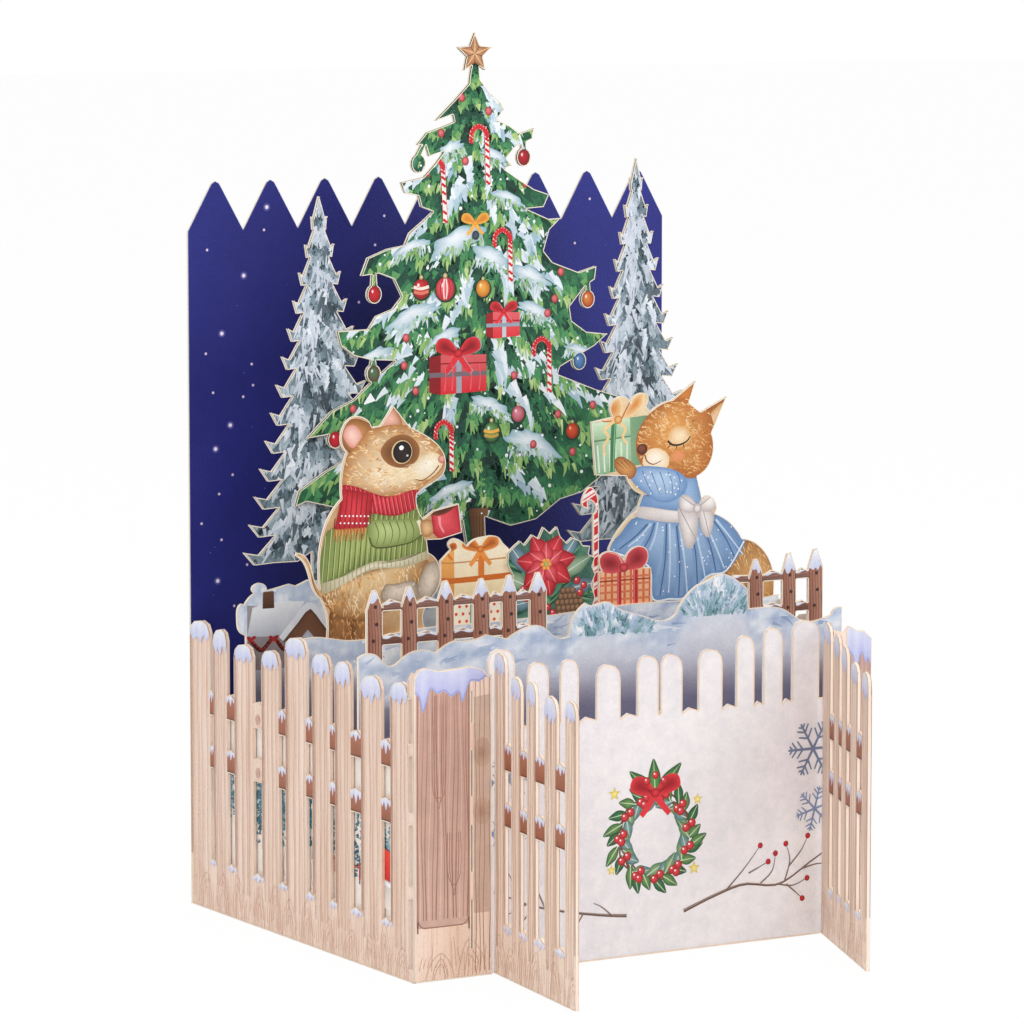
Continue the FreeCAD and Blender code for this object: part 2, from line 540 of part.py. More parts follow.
def drop_outline(hook, middle, radius):
    """A bauble and the short neck of card that it hangs from."""
    neck = 0.45
    loop = [(hook[0] + neck, hook[1]), (hook[0] - neck, hook[1])]
    for number in range(13):
        angle = math.radians(112 + number * 26.3)
        loop.append((middle[0] + radius * math.cos(angle), middle[1] + 1.15 * radius * math.sin(angle)))
    return corners_of(loop)


tree_height = size("tree_height")
tree_front = rear_layer - 2 * card
star = star_outline((-0.006 * tree_height, 0.994 * tree_height), size("star_radius"))
drops = [drop_outline((h[0] * tree_height / 100, h[1] * tree_height / 100),
                      (m[0] * tree_height / 100, m[1] * tree_height / 100), 1.75) for h, m in DROPS]
flat_piece("decorated_tree", [scaled(corners_of(TREE_LEFT + TREE_RIGHT), tree_height)], tree_front,
           0.475 * tube_width, size("tree_foot"), [star] + drops)


# Frosted trees glued behind the rear layer

def spruce_side(top, skirt, reach, tiers, side):
    """One side of a spruce from its tip down: each tier sweeps out and down and ends in a raised hook."""
    pitch = (top - skirt) / tiers
    line = []
    for tier in range(1, tiers + 1):
        out = reach * (tier / tiers) ** 0.92
        level = top - pitch * tier
        line += [(side * 0.80 * out, level + 0.16 * pitch), (side * out, level + 0.28 * pitch),
                 (side * 0.86 * out, level - 0.20 * pitch), (side * 0.62 * out, level - 0.16 * pitch)]
    return line


def spruce(label, across, top, tiers, left_reach, right_reach):
    skirt = size("spruce_skirt")
    trunk = 2.0
    left_side_line = spruce_side(top, skirt, left_reach, tiers, -1)
    right_side_line = spruce_side(top, skirt, right_reach, tiers, 1)
    low = [(-0.3 * left_reach, skirt - 1.0), (-trunk, skirt + 1.0), (-trunk, foot), (trunk, foot),
           (trunk, skirt + 1.0),
           (0.3 * right_reach, skirt - 1.2)]
    loop = corners_of([(0.0, top)] + left_side_line + low + right_side_line[::-1])
    return flat_piece(label, [loop], rear_layer, across)


reach = size("spruce_reach")
spruce("left_frosted_tree", 0.157 * tube_width, size("left_spruce_top"), 13, reach, reach + 1.4)
spruce("right_frosted_tree", 0.816 * tube_width, size("right_spruce_top"), 14, reach - 1.0, reach)


doc.recompute()
problems = []
for item in doc.Objects:
    if "Invalid" in item.State or "Error" in item.State:
        problems.append("%s: %s" % (item.Label, item.State))
for item in sub_parts:
    if item.Shape.isNull() or not item.Shape.isValid():
        problems.append("%s: bad shape" % item.Label)
    elif len(item.Shape.Solids) != 1:
        problems.append("%s: %d solids" % (item.Label, len(item.Shape.Solids)))
if problems:
    raise SystemExit("\n".join(problems))

os.makedirs("parts", exist_ok=True)
for item in sub_parts:
    item.Shape.exportStep("parts/%s.step" % item.Label)
    box = item.Shape.BoundBox
    print("%-22s %8.1f mm3  x %6.1f %6.1f  y %6.1f %6.1f  z %6.1f %6.1f"
          % (item.Label, item.Shape.Volume, box.XMin, box.XMax, box.YMin, box.YMax, box.ZMin, box.ZMax))
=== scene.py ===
import bpy
import json
import math
import numpy as np
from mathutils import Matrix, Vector


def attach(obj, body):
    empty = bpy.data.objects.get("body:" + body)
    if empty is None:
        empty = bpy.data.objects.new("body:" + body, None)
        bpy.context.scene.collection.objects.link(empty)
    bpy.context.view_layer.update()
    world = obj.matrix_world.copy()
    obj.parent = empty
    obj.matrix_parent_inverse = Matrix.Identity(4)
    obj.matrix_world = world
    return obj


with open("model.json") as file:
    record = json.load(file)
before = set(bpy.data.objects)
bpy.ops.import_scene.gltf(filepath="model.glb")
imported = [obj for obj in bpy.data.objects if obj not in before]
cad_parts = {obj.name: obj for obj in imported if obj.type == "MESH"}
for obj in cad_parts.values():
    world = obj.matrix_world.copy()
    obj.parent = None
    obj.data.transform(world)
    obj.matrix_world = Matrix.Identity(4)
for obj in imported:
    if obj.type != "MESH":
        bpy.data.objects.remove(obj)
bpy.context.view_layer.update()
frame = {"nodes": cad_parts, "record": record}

# A winter scene pop up card. The sheets of card come from the frame. Each printed side is a thin skin of
# paint patches just in front of its sheet. Flat drawings are laid out in millimetres: across from the
# tube's left side (or along a wall or gate) and up from the table.

LEFT = -60.0                 # the tube's left side
FRONT = -1.2                 # the posts' front face
CARD = 0.6                   # thickness of the card
GAP = 0.3                    # clearance between sheets that aren't glued face to face
DEPTH = 98.5                 # the tube, front to back
PITCH = DEPTH / 4            # from one snow layer to the next
LEFT_HINGE, LEFT_TURN = 18.2, -97.0     # each gate's crease, and how its plate is turned at rest, in degrees
RIGHT_HINGE, RIGHT_TURN = 99.1, 69.0
HINGE_AHEAD = 0.2            # the creases lie this far in front of the posts
BEND_START, BEND = 104.2, 32.0          # the right post's bend, and the angle of the strip beyond it
SKIN = 0.02                  # the lowest patch lies this far off its card
HAIR = 0.001                 # step from one patch to the next above it
PRINT_DEPTH = 0.4            # no patch lies further off than this
THIN_PRINT = 0.09            # the same where two printed sides close on each other
RIM = 0.2                    # bare card left along the cut edges
CELL = 0.3                   # the trim cuts patches into cells of about this size
TINY = 1e-9
BATCH = 20000


# Colours

def paint(code):
    """A colour written as six hex digits, as linear light values."""
    rgb = np.array([int(code[i:i + 2], 16) for i in (0, 2, 4)]) / 255.0
    return np.where(rgb <= 0.04045, rgb / 12.92, ((rgb + 0.055) / 1.055) ** 2.4)


def ink(colour):
    """A colour, or a row of colours, as linear light: six hex digits are turned into it."""
    return paint(colour) if isinstance(colour, str) else np.asarray(colour)


def blend_paint(a, b, share):
    """From colour a to colour b by a share of 0 to 1, for arrays of shares."""
    share = np.asarray(share)[..., None]
    return ink(a) * (1 - share) + ink(b) * share


CREAM_EDGE = paint("f3e6d3")


# Smooth fields and curves

def drift(points, grain, seed):
    """A smooth wandering field from -1 to 1: the mean of nine cosines of random directions and phases."""
    dice = np.random.default_rng(seed)
    turn = dice.uniform(0, 2 * np.pi, 9)
    pace = 2 * np.pi / grain * dice.uniform(0.6, 1.7, 9)
    phase = dice.uniform(0, 2 * np.pi, 9)
    waves = points[..., :1] * np.cos(turn) * pace + points[..., 1:2] * np.sin(turn) * pace + phase
    return np.clip(np.cos(waves).mean(axis=-1) * 2.2, -1, 1)


def cubic(a, b, c, d, share):
    """The Catmull-Rom cubic from b to c, with a before them and d after, at a share of the way."""
    return 0.5 * (2 * b + (c - a) * share + (2 * a - 5 * b + 4 * c - d) * share ** 2 + (3 * b - 3 * c + d - a)
        * share ** 3)


def curve(points, count, closed=False):
    """Points along a Catmull-Rom curve through the given ones: a cubic in the share between neighbours."""
    p = np.asarray(points, float)
    n = len(p)
    t = np.linspace(0, n if closed else n - 1, count, endpoint=not closed)
    i = np.minimum(t.astype(int), n - 1 if closed else max(n - 2, 0))
    f = (t - i)[:, None]
    if closed:
        a, b, c, d = p[(i - 1) % n], p[i % n], p[(i + 1) % n], p[(i + 2) % n]
    else:
        a, b, c, d = p[np.maximum(i - 1, 0)], p[i], p[np.minimum(i + 1, n - 1)], p[np.minimum(i + 2, n - 1)]
    return cubic(a, b, c, d, f)


def crossed(start, stop, points):
    """Which points lie in an outline: a line from each to the right crosses its edges an odd number of times."""
    (x0, y0), (x1, y1) = start.T, stop.T
    px, py = points[..., 0].reshape(-1, 1), points[..., 1].reshape(-1, 1)
    slope = (x1 - x0) / np.where(np.abs(y1 - y0) < TINY, TINY, y1 - y0)
    hits = ((y0 > py) != (y1 > py)) & (px < slope * (py - y0) + x0)
    return (hits.sum(axis=1) % 2 == 1).reshape(points.shape[:-1])


def inside(outline, points):
    """Which points lie in a closed outline."""
    start = np.asarray(outline, float)
    return crossed(start, np.roll(start, -1, axis=0), points)


def cells(where):
    """The four corners of every cell of a batch of grids, given the corners' numbers."""
    return np.stack((where[:, :-1, :-1], where[:, :-1, 1:], where[:, 1:, 1:], where[:, 1:, :-1]), -1).reshape(-1, 4)


def upright(run):
    """The directions a quarter turn to the left of the given ones."""
    return np.stack((-run[..., 1], run[..., 0]), -1)


# Printed sides

class Side:
    """A printed side of a sheet: where its drawing's zero is, which way it runs, and which way it faces."""

    def __init__(self, zero, along, out):
        self.zero = np.array(zero, float)
        self.along = np.array(along, float)
        self.out = np.array(out, float)
        self.turned = np.dot(np.cross(self.along, (0, 0, 1)), self.out) < 0

    def place(self, flat, lift):
        """Flat drawing points and their lift off the card, as points of the object in metres."""
        across = self.zero + flat[..., :1] * self.along
        return (across + flat[..., 1:2] * np.array((0, 0, 1.0)) + lift[..., None] * self.out) * 0.001


def facing(depth):
    """The front of a sheet that stands across the tube at that depth."""
    return Side((LEFT, FRONT + depth, 0), (1, 0, 0), (0, -1, 0))


class Print:
    """All the paint patches on one side of a node's sheet, gathered into one mesh."""

    def __init__(self, name, node, side, slot, body="card_box", depth=PRINT_DEPTH):
        self.name, self.side, self.slot, self.body, self.depth = name, side, slot, body, depth
        self.sheet = Sheet(node, side)
        self.flats, self.lifts, self.tints, self.faces = [], [], [], []
        self.count = 0
        self.level = 0.0

    def grid(self, flat, tint, lift):
        """A batch of patches, each a grid of points: batch by rows by columns, two numbers each."""
        batch, rows, columns = flat.shape[:3]
        where = np.arange(batch * rows * columns).reshape(batch, rows, columns)
        quads = cells(where)
        p = flat.reshape(-1, 2)
        q = p[quads]
        a, b = q[:, 2] - q[:, 0], q[:, 3] - q[:, 1]
        area = a[:, 0] * b[:, 1] - a[:, 1] * b[:, 0]
        quads[area < 0] = quads[area < 0][:, ::-1]
        quads = quads[np.abs(area) > 1e-7]
        self.flats.append(p)
        self.lifts.append(np.broadcast_to(lift.reshape(batch, 1, 1), (batch, rows, columns)).reshape(-1))
        self.tints.append(np.broadcast_to(tint, flat.shape[:3] + (3,)).reshape(-1, 3))
        self.faces.append(quads + self.count)
        self.count += batch * rows * columns

    def trim(self):
        """Cuts the patches to the sheet: faces that may cross its outline are split, and those off it go."""
        flat, lift, tint, faces = map(np.concatenate, (self.flats, self.lifts, self.tints, self.faces))
        corner = flat[faces]
        side = np.linalg.norm(np.roll(corner, -1, axis=1) - corner, axis=2)
        across, up = np.maximum(side[:, 0], side[:, 2]), np.maximum(side[:, 1], side[:, 3])
        on = self.sheet.holds(corner)
        whole = on.all(axis=1) & (np.maximum(across, up) < 1.5)
        self.flats, self.lifts, self.tints, self.faces, self.count = [flat], [lift], [tint], [faces[whole]], len(flat)
        split = ~whole & (on.any(axis=1) | (np.maximum(across, up) >= 1.0))
        parts = 2 ** np.ceil(np.log2(np.clip(np.stack((across, up), -1) / CELL, 1, 256))).astype(int)
        for m, n in np.unique(parts[split], axis=0):
            chosen = faces[split & (parts[:, 0] == m) & (parts[:, 1] == n)]
            u, v = np.meshgrid(np.linspace(0, 1, m + 1), np.linspace(0, 1, n + 1))
            share = np.stack(((1 - u) * (1 - v), u * (1 - v), u * v, (1 - u) * v), -1)
            p, t = np.einsum("rck,fkd->frcd", share, flat[chosen]), np.einsum("rck,fkd->frcd", share, tint[chosen])
            held = self.sheet.holds(p)
            where = np.arange(held.size).reshape(held.shape)
            free = held[:, :-1, :-1] & held[:, :-1, 1:] & held[:, 1:, 1:] & held[:, 1:, :-1]
            quads = []
            for block in (8, 4, 2, 1):
                wide, tall = min(block, m), min(block, n)
                tiles = free.reshape(len(free), n // tall, tall, m // wide, wide).all(axis=(2, 4))
                face, j, i = np.nonzero(tiles)
                j, i = j * tall, i * wide
                quads.append(np.stack((where[face, j, i], where[face, j, i + wide], where[face, j + tall, i + wide],
                    where[face, j + tall, i]), -1))
                free &= ~np.repeat(np.repeat(tiles, tall, axis=1), wide, axis=2)
            quads = np.vstack(quads)
            used, again = np.unique(quads, return_inverse=True)
            self.flats.append(p.reshape(-1, 2)[used])
            self.lifts.append(np.repeat(lift[chosen[:, 0]], (m + 1) * (n + 1))[used])
            self.tints.append(t.reshape(-1, 3)[used])
            self.faces.append(again.reshape(-1, 4) + self.count)
            self.count += len(used)

    def rise(self):
        """The lift for the next patch: a hair above the one before."""
        self.level += HAIR
        return np.array([SKIN + self.level])

    def each(self, colour):
        """One colour for all patches, or one for each of them, ready to be spread over their points."""
        tint = ink(colour)
        return tint[:, None, None, :] if tint.ndim == 2 else tint

    def wash(self, outline, middle, inner, outer, smooth=True, count=44, rings=4):
        """A patch of paint: rings that grow from a middle point to the outline, from one colour to another."""
        rim = curve(outline, count, True) if smooth else np.asarray(outline, float)
        rim = np.vstack((rim, rim[:1]))
        share = np.linspace(0, 1, rings + 1)[:, None, None]
        middle = rim[:-1].mean(axis=0) if middle is None else np.asarray(middle, float)
        flat = middle + (rim[None] - middle) * share
        tint = blend_paint(inner, outer, np.broadcast_to(share[..., 0] ** 1.6, flat.shape[:2]))
        self.grid(flat[None], tint[None], self.rise())

    def oval(self, middle, across, high, inner, outer, lean=0.0, shine=None):
        """A wash inside an ellipse, with the lightest spot moved from its middle."""
        turn = np.linspace(0, 2 * np.pi, 25)[:-1]
        c, s = math.cos(math.radians(lean)), math.sin(math.radians(lean))
        x, y = across * np.cos(turn), high * np.sin(turn)
        rim = np.stack((middle[0] + x * c - y * s, middle[1] + x * s + y * c), -1)
        spot = middle if shine is None else (middle[0] + shine[0], middle[1] + shine[1])
        self.wash(rim, spot, inner, outer, smooth=False)

    def band(self, low, high, first, last, count=40):
        """A patch ruled from one curve to another, with a colour for each."""
        a, b = curve(low, count), curve(high, count)
        share = np.linspace(0, 1, 5)[:, None]
        flat = a[None] * (1 - share[..., None]) + b[None] * share[..., None]
        tint = blend_paint(first, last, np.broadcast_to(share, flat.shape[:2]))
        self.grid(flat[None], tint[None], self.rise())

    def line(self, points, wide, colour, thin=None, count=24):
        """A brush line along a curve, from one width to another."""
        self.lines(np.asarray(points, float)[None], np.array([wide]), colour,
            np.array([wide if thin is None else thin]), count, self.rise())

    def lines(self, points, wide, colour, thin=None, count=4, lift=None):
        """Many brush lines at once: each is carried along its own points, half its width to each side."""
        n, knots = points.shape[:2]
        if count != knots:
            t = np.linspace(0, 1, count) * (knots - 1)
            i = np.minimum(t.astype(int), knots - 2)
            f = (t - i)[None, :, None]
            back, ahead = np.maximum(i - 1, 0), np.minimum(i + 2, knots - 1)
            a, b, c, d = points[:, back], points[:, i], points[:, i + 1], points[:, ahead]
            points = cubic(a, b, c, d, f)
        run = np.gradient(points, axis=1)
        run /= np.maximum(np.linalg.norm(run, axis=2, keepdims=True), TINY)
        normal = upright(run)
        thin = wide * 0.15 if thin is None else thin
        half = (wide[:, None] + (thin - wide)[:, None] * np.linspace(0, 1, points.shape[1])[None]) / 2
        flat = np.stack((points - normal * half[..., None], points + normal * half[..., None]), 2)
        tint = self.each(colour)
        if lift is None:
            lift = SKIN + self.level + HAIR * (np.arange(n) % 8) + HAIR
            self.level += HAIR * min(n, 8) + HAIR / 2
        self.grid(flat, tint, np.broadcast_to(lift, (n,)))

    def dots(self, middles, radius, colour):
        """Many round dots at once."""
        middles = np.asarray(middles, float)
        turn = np.linspace(0, 2 * np.pi, 11)
        ring = np.stack((np.cos(turn), np.sin(turn)), -1)
        radius = np.broadcast_to(radius, (len(middles),))
        share = np.array((0.0, 1.0))[None, :, None, None]
        flat = middles[:, None, None] + ring[None, None] * share * radius[:, None, None, None]
        tint = self.each(colour)
        self.level += 2 * HAIR
        self.grid(flat, tint, np.full(len(middles), SKIN + self.level))

    def rim(self, wide, colour):
        """A thin line of bare card along every cut edge of the sheet's side."""
        start, stop = self.sheet.edges
        run = stop - start
        run /= np.maximum(np.linalg.norm(run, axis=1, keepdims=True), TINY)
        inward = upright(run) * wide
        flat = np.stack((np.stack((start, stop), 1), np.stack((start + inward, stop + inward), 1)), 1)
        self.level += 3 * HAIR
        self.grid(flat, ink(colour), np.full(len(start), SKIN + self.level))

    def finish(self, rim=RIM, colour=CREAM_EDGE):
        """The patches, cut to the sheet and edged with bare card, as one object that rides with its body."""
        self.trim()
        if rim:
            self.rim(rim, colour)
        mesh = bpy.data.meshes.new(self.name)
        faces = np.vstack(self.faces)
        if self.side.turned:
            faces = faces[:, ::-1]
        lifts = np.concatenate(self.lifts)
        lifts = SKIN + (lifts - SKIN) * min(1.0, self.depth / (lifts.max() - SKIN))
        mesh.from_pydata(self.side.place(np.vstack(self.flats), lifts), [], faces)
        tint = mesh.attributes.new("tint", "FLOAT_COLOR", "POINT")
        colours = np.vstack(self.tints)
        tint.data.foreach_set("color", np.hstack((colours, np.ones((len(colours), 1)))).astype(np.float32).ravel())
        mesh.update()
        piece = bpy.data.objects.new(self.name, mesh)
        bpy.context.scene.collection.objects.link(piece)
        mesh.materials.append(printed_ink)
        piece.visible_shadow = False
        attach(piece, self.body)


class Sheet:
    """A sheet's cut outline on one side, read from the frame: its edges run with the card on their left."""

    def __init__(self, node, side):
        mesh = frame["nodes"][node].data
        count = len(mesh.vertices)
        at = np.empty(count * 3)
        mesh.vertices.foreach_get("co", at)
        at = at.reshape(-1, 3) * 1000
        mesh.calc_loop_triangles()
        tri = np.empty(len(mesh.loop_triangles) * 3, np.int64)
        mesh.loop_triangles.foreach_get("vertices", tri)
        tri = tri.reshape(-1, 3)
        p = at[tri]
        normal = np.cross(p[:, 1] - p[:, 0], p[:, 2] - p[:, 0])
        size = np.linalg.norm(normal, axis=1)
        faces_us = (normal @ side.out) > 0.95 * np.maximum(size, TINY)
        depth = (p.mean(axis=1) - side.zero) @ side.out
        here = faces_us & (np.abs(depth) < 0.05)
        flat = np.stack(((p[here] - side.zero) @ side.along, p[here][..., 2]), -1)
        if side.turned:
            flat = flat[:, ::-1]
        keys = np.round(flat * 500).astype(np.int64)
        code = keys[..., 0] * 10000019 + keys[..., 1]
        a, b = code, np.roll(code, -1, axis=1)
        pairs = np.stack((a, b), -1).reshape(-1, 2)
        ends = np.stack((flat, np.roll(flat, -1, axis=1)), 2).reshape(-1, 2, 2)
        known = set(map(tuple, pairs.tolist()))
        alone = np.array([(q, p) not in known for p, q in pairs.tolist()])
        self.edges = ends[alone, 0], ends[alone, 1]

    def reach(self, level):
        """The leftmost and rightmost cut edges at a height."""
        (x0, y0), (x1, y1) = self.edges[0].T, self.edges[1].T
        on = (y0 > level) != (y1 > level)
        x = x0[on] + (level - y0[on]) / (y1[on] - y0[on]) * (x1[on] - x0[on])
        return (x.min(), x.max()) if len(x) else (0.0, 0.0)

    def top(self, across):
        """The highest cut edge at each distance across."""
        (x0, y0), (x1, y1) = self.edges[0].T, self.edges[1].T
        x = np.asarray(across, float).reshape(-1, 1)
        share = (x - x0) / np.where(np.abs(x1 - x0) < TINY, TINY, x1 - x0)
        high = np.where((x0 > x) != (x1 > x), y0 + share * (y1 - y0), -1.0).max(axis=1)
        return high.reshape(np.shape(across))

    def holds(self, points):
        """Which points lie on the card. Long rows of points are tested in parts, to save memory."""
        if points.size > 2 * BATCH:
            flat = points.reshape(-1, 2)
            parts = np.array_split(flat, flat.size // BATCH)
            return np.concatenate([self.holds(part) for part in parts]).reshape(points.shape[:-1])
        return crossed(*self.edges, points)


# Materials

MIXED = 2                    # the number of a mix node's colour output


class Shader:
    """A material's nodes, added one by one and joined by name."""

    def __init__(self, name):
        self.material = bpy.data.materials.new(name)
        self.material.use_nodes = True
        self.tree = self.material.node_tree
        self.tree.nodes.clear()
        self.out = self.add("ShaderNodeOutputMaterial")
        self.skin = self.add("ShaderNodeBsdfPrincipled")
        self.join(self.skin, "BSDF", self.out, "Surface")
        self.where = self.add("ShaderNodeTexCoord")

    def add(self, kind, **values):
        node = self.tree.nodes.new(kind)
        for key, value in values.items():
            setattr(node, key, value)
        return node

    def join(self, a, a_name, b, b_name):
        self.tree.links.new(a.outputs[a_name], b.inputs[b_name])

    def stretch(self, scale):
        node = self.add("ShaderNodeMapping")
        node.inputs["Scale"].default_value = scale
        self.join(self.where, "Object", node, "Vector")
        return node

    def noise(self, scale, detail, rough=0.55, at=None):
        node = self.add("ShaderNodeTexNoise")
        node.inputs["Scale"].default_value = scale
        node.inputs["Detail"].default_value = detail
        node.inputs["Roughness"].default_value = rough
        if at is None:
            self.join(self.where, "Object", node, "Vector")
        else:
            self.join(at, "Vector", node, "Vector")
        return node

    def ramp(self, source, output, stops):
        node = self.add("ShaderNodeValToRGB")
        while len(node.color_ramp.elements) < len(stops):
            node.color_ramp.elements.new(0.5)
        for element, (place, colour) in zip(node.color_ramp.elements, stops):
            element.position = place
            element.color = (*ink(colour), 1)
        self.join(source, output, node, "Fac")
        return node

    def mix(self, kind, share, a, b):
        """Two colours mixed; each of share, a and b is a value or a (node, output) pair."""
        node = self.add("ShaderNodeMix", data_type="RGBA", blend_type=kind)
        for slot, value in ((0, share), (6, a), (7, b)):
            if isinstance(value, tuple) and hasattr(value[0], "outputs"):
                self.tree.links.new(value[0].outputs[value[1]], node.inputs[slot])
            elif slot == 0:
                node.inputs[slot].default_value = value
            else:
                node.inputs[slot].default_value = (*value, 1)
        return node

    def sum(self, kind, a, b):
        node = self.add("ShaderNodeMath", operation=kind)
        for slot, value in enumerate((a, b)):
            if isinstance(value, tuple):
                self.tree.links.new(value[0].outputs[value[1]], node.inputs[slot])
            else:
                node.inputs[slot].default_value = value
        return node

    def close(self, colour):
        """Joins the colour to the skin and adds the card's fine tooth."""
        self.tree.links.new(colour.outputs[MIXED], self.skin.inputs["Base Color"])
        self.skin.inputs["Roughness"].default_value = 0.55
        self.skin.inputs["Specular IOR Level"].default_value = 0.35
        bump = self.add("ShaderNodeBump")
        bump.inputs["Strength"].default_value = 0.25
        bump.inputs["Distance"].default_value = 0.0006
        grain = self.noise(2600.0, 2.0)
        self.join(grain, "Fac", bump, "Height")
        self.join(bump, "Normal", self.skin, "Normal")
        return self.material


def printed_ink_material():
    """Ink: the patch's own colour, mottled finely and more softly at two larger scales, as water colour dries."""
    s = Shader("printed_ink")
    tint = s.add("ShaderNodeAttribute", attribute_name="tint")
    fine = s.ramp(s.noise(1500, 3), "Fac", [(0.3, (0.93, 0.935, 0.945)), (0.7, (1.0, 1.0, 1.0))])
    pool = s.ramp(s.noise(260, 4, 0.6), "Fac", [(0.32, (0.90, 0.91, 0.93)), (0.62, (1.0, 1.0, 1.0))])
    colour = s.mix("MULTIPLY", 1.0, (tint, "Color"), (pool, "Color"))
    colour = s.mix("MULTIPLY", 0.8, (colour, "Result"), (fine, "Color"))
    return s.close(colour)


def front_mask(s):
    """1 on the sheet's printed front, 0 on its cut edges and its plain back, from the normal's share along y."""
    shape = s.add("ShaderNodeNewGeometry")
    split = s.add("ShaderNodeSeparateXYZ")
    s.join(shape, "Normal", split, "Vector")
    return s.sum("LESS_THAN", (split, "Y"), -0.9)


def wood_grain(s, pale, mid, dark):
    """Printed wood: long fine streaks up the plank over a slower change of tone."""
    pale, mid, dark = paint(pale), paint(mid), paint(dark)
    streak = s.noise(1.0, 4, 0.6, s.stretch((1500, 1500, 34)))
    base = s.ramp(streak, "Fac", [(0.34, mid), (0.50, pale), (0.80, pale * 1.03)])
    tone = s.noise(1.0, 2, 0.5, s.stretch((160, 160, 20)))
    soft = s.ramp(tone, "Fac", [(0.30, (0.90, 0.85, 0.80)), (0.62, (1.0, 1.0, 1.0))])
    toned = s.mix("MULTIPLY", 1.0, (base, "Color"), (soft, "Color"))
    vein = s.ramp(s.noise(1.0, 3, 0.5, s.stretch((900, 900, 12))), "Fac", [(0.66, (0.0, 0.0, 0.0)),
        (0.72, (1.0, 1.0, 1.0))])
    return s.mix("MIX", (vein, "Color"), (toned, MIXED), dark)


def wood_material(name, one_sided, pale, mid, dark):
    s = Shader(name)
    ringed = wood_grain(s, pale, mid, dark)
    if not one_sided:
        return s.close(ringed)
    return s.close(s.mix("MIX", (front_mask(s), "Value"), CREAM_EDGE, (ringed, MIXED)))


def washed_material(name, stops, scale, stretch=(1, 1, 1), edge=True, fine=900.0):
    """Water colour on card: a soft field between colours, a finer one over it, and bare card on the cut edges."""
    s = Shader(name)
    field = s.noise(scale, 5, 0.62, s.stretch(stretch))
    base = s.ramp(field, "Fac", stops)
    grain = s.ramp(s.noise(fine, 3, 0.6), "Fac", [(0.3, (0.84, 0.86, 0.89)), (0.68, (1.0, 1.0, 1.0))])
    colour = s.mix("MULTIPLY", 0.8, (base, "Color"), (grain, "Color"))
    if edge:
        colour = s.mix("MIX", (front_mask(s), "Value"), CREAM_EDGE, (colour, MIXED))
    return s.close(colour)


printed_ink = printed_ink_material()
finishes = {
    "peach_wood": wood_material("peach_wood", False, "f3dccc", "e8c8b4", "d3a68e"),
    "gate_wood": wood_material("gate_wood", False, "f5e2d2", "ebcfba", "d3aa90"),
    "liner_print": washed_material("liner_print", [(0.3, "ebe6e6"), (0.62, "f3f0f0")], 22.0, edge=False),
    "night_print": washed_material("night_print", [(0.25, "0b1450"), (0.5, "101b66"),
                                                   (0.75, "1a2a80")], 14.0, fine=500.0),
    "snow_print": washed_material("snow_print", [(0.3, "b4c4df"), (0.48, "d9e1ef"),
                                                 (0.66, "f6f8fc")], 95.0, (1, 1, 1.6)),
    "fence_print": wood_material("fence_print", True, "9a6248", "744230", "4a2a20"),
    "mouse_print": washed_material("mouse_print", [(0.3, "b98a5c"), (0.7, "dcb98c")], 180.0),
    "squirrel_print": washed_material("squirrel_print", [(0.3, "dcb98c"), (0.7, "efd9b4")], 160.0),
    "parcel_print": washed_material("parcel_print", [(0.3, "f0dcb4"), (0.7, "f8ecd2")], 150.0),
    "flower_print": washed_material("flower_print", [(0.35, "2f5a4b"), (0.65, "5b8a78")], 220.0),
    "checked_print": washed_material("checked_print", [(0.3, "cf6f4c"), (0.7, "e5946a")], 200.0),
    "cane_print": washed_material("cane_print", [(0.3, "f4e9e4"), (0.7, "fdf8f4")], 200.0),
    "tree_print": washed_material("tree_print", [(0.3, "123a2c"), (0.5, "1d5a3c"),
                                                 (0.72, "3a7d4d")], 150.0),
    "frost_print": washed_material("frost_print", [(0.28, "4f6068"), (0.5, "8298a2"),
                                                   (0.74, "c3cfd6")], 120.0, (1, 1, 0.6)),
}
slot_of = {row["node"]: row["material_slot"] for row in frame["record"]["subparts"]}
for name, node in frame["nodes"].items():
    node.data.materials.clear()
    node.data.materials.append(finishes[slot_of[name]])


# Floor, light and camera

def stage():
    """The table: matt white, and nearly all light where the camera sees it."""
    s = Shader("table")
    s.skin.inputs["Base Color"].default_value = (0.96, 0.96, 0.965, 1)
    s.skin.inputs["Roughness"].default_value = 0.9
    s.skin.inputs["Specular IOR Level"].default_value = 0.1
    lit = s.add("ShaderNodeEmission")
    lit.inputs["Color"].default_value = (1, 1, 1, 1)
    lit.inputs["Strength"].default_value = 1.0
    ray = s.add("ShaderNodeLightPath")
    blend = s.add("ShaderNodeMixShader")
    seen = s.sum("MAXIMUM", (ray, "Is Camera Ray"), (ray, "Is Glossy Ray"))
    part = s.sum("MULTIPLY", (seen, "Value"), 0.965)
    s.join(part, "Value", blend, "Fac")
    s.tree.links.new(s.skin.outputs["BSDF"], blend.inputs[1])
    s.tree.links.new(lit.outputs["Emission"], blend.inputs[2])
    s.tree.links.new(blend.outputs["Shader"], s.out.inputs["Surface"])
    across = np.linspace(-6, 6, 7)
    x, y = np.meshgrid(across, across)
    points = np.stack((x.ravel(), y.ravel(), np.full(x.size, -0.0002)), -1)
    mesh = bpy.data.meshes.new("table")
    mesh.from_pydata(points, [], cells(np.arange(x.size)[None].reshape(1, *x.shape)))
    mesh.materials.append(s.material)
    table = bpy.data.objects.new("table", mesh)
    bpy.context.scene.collection.objects.link(table)


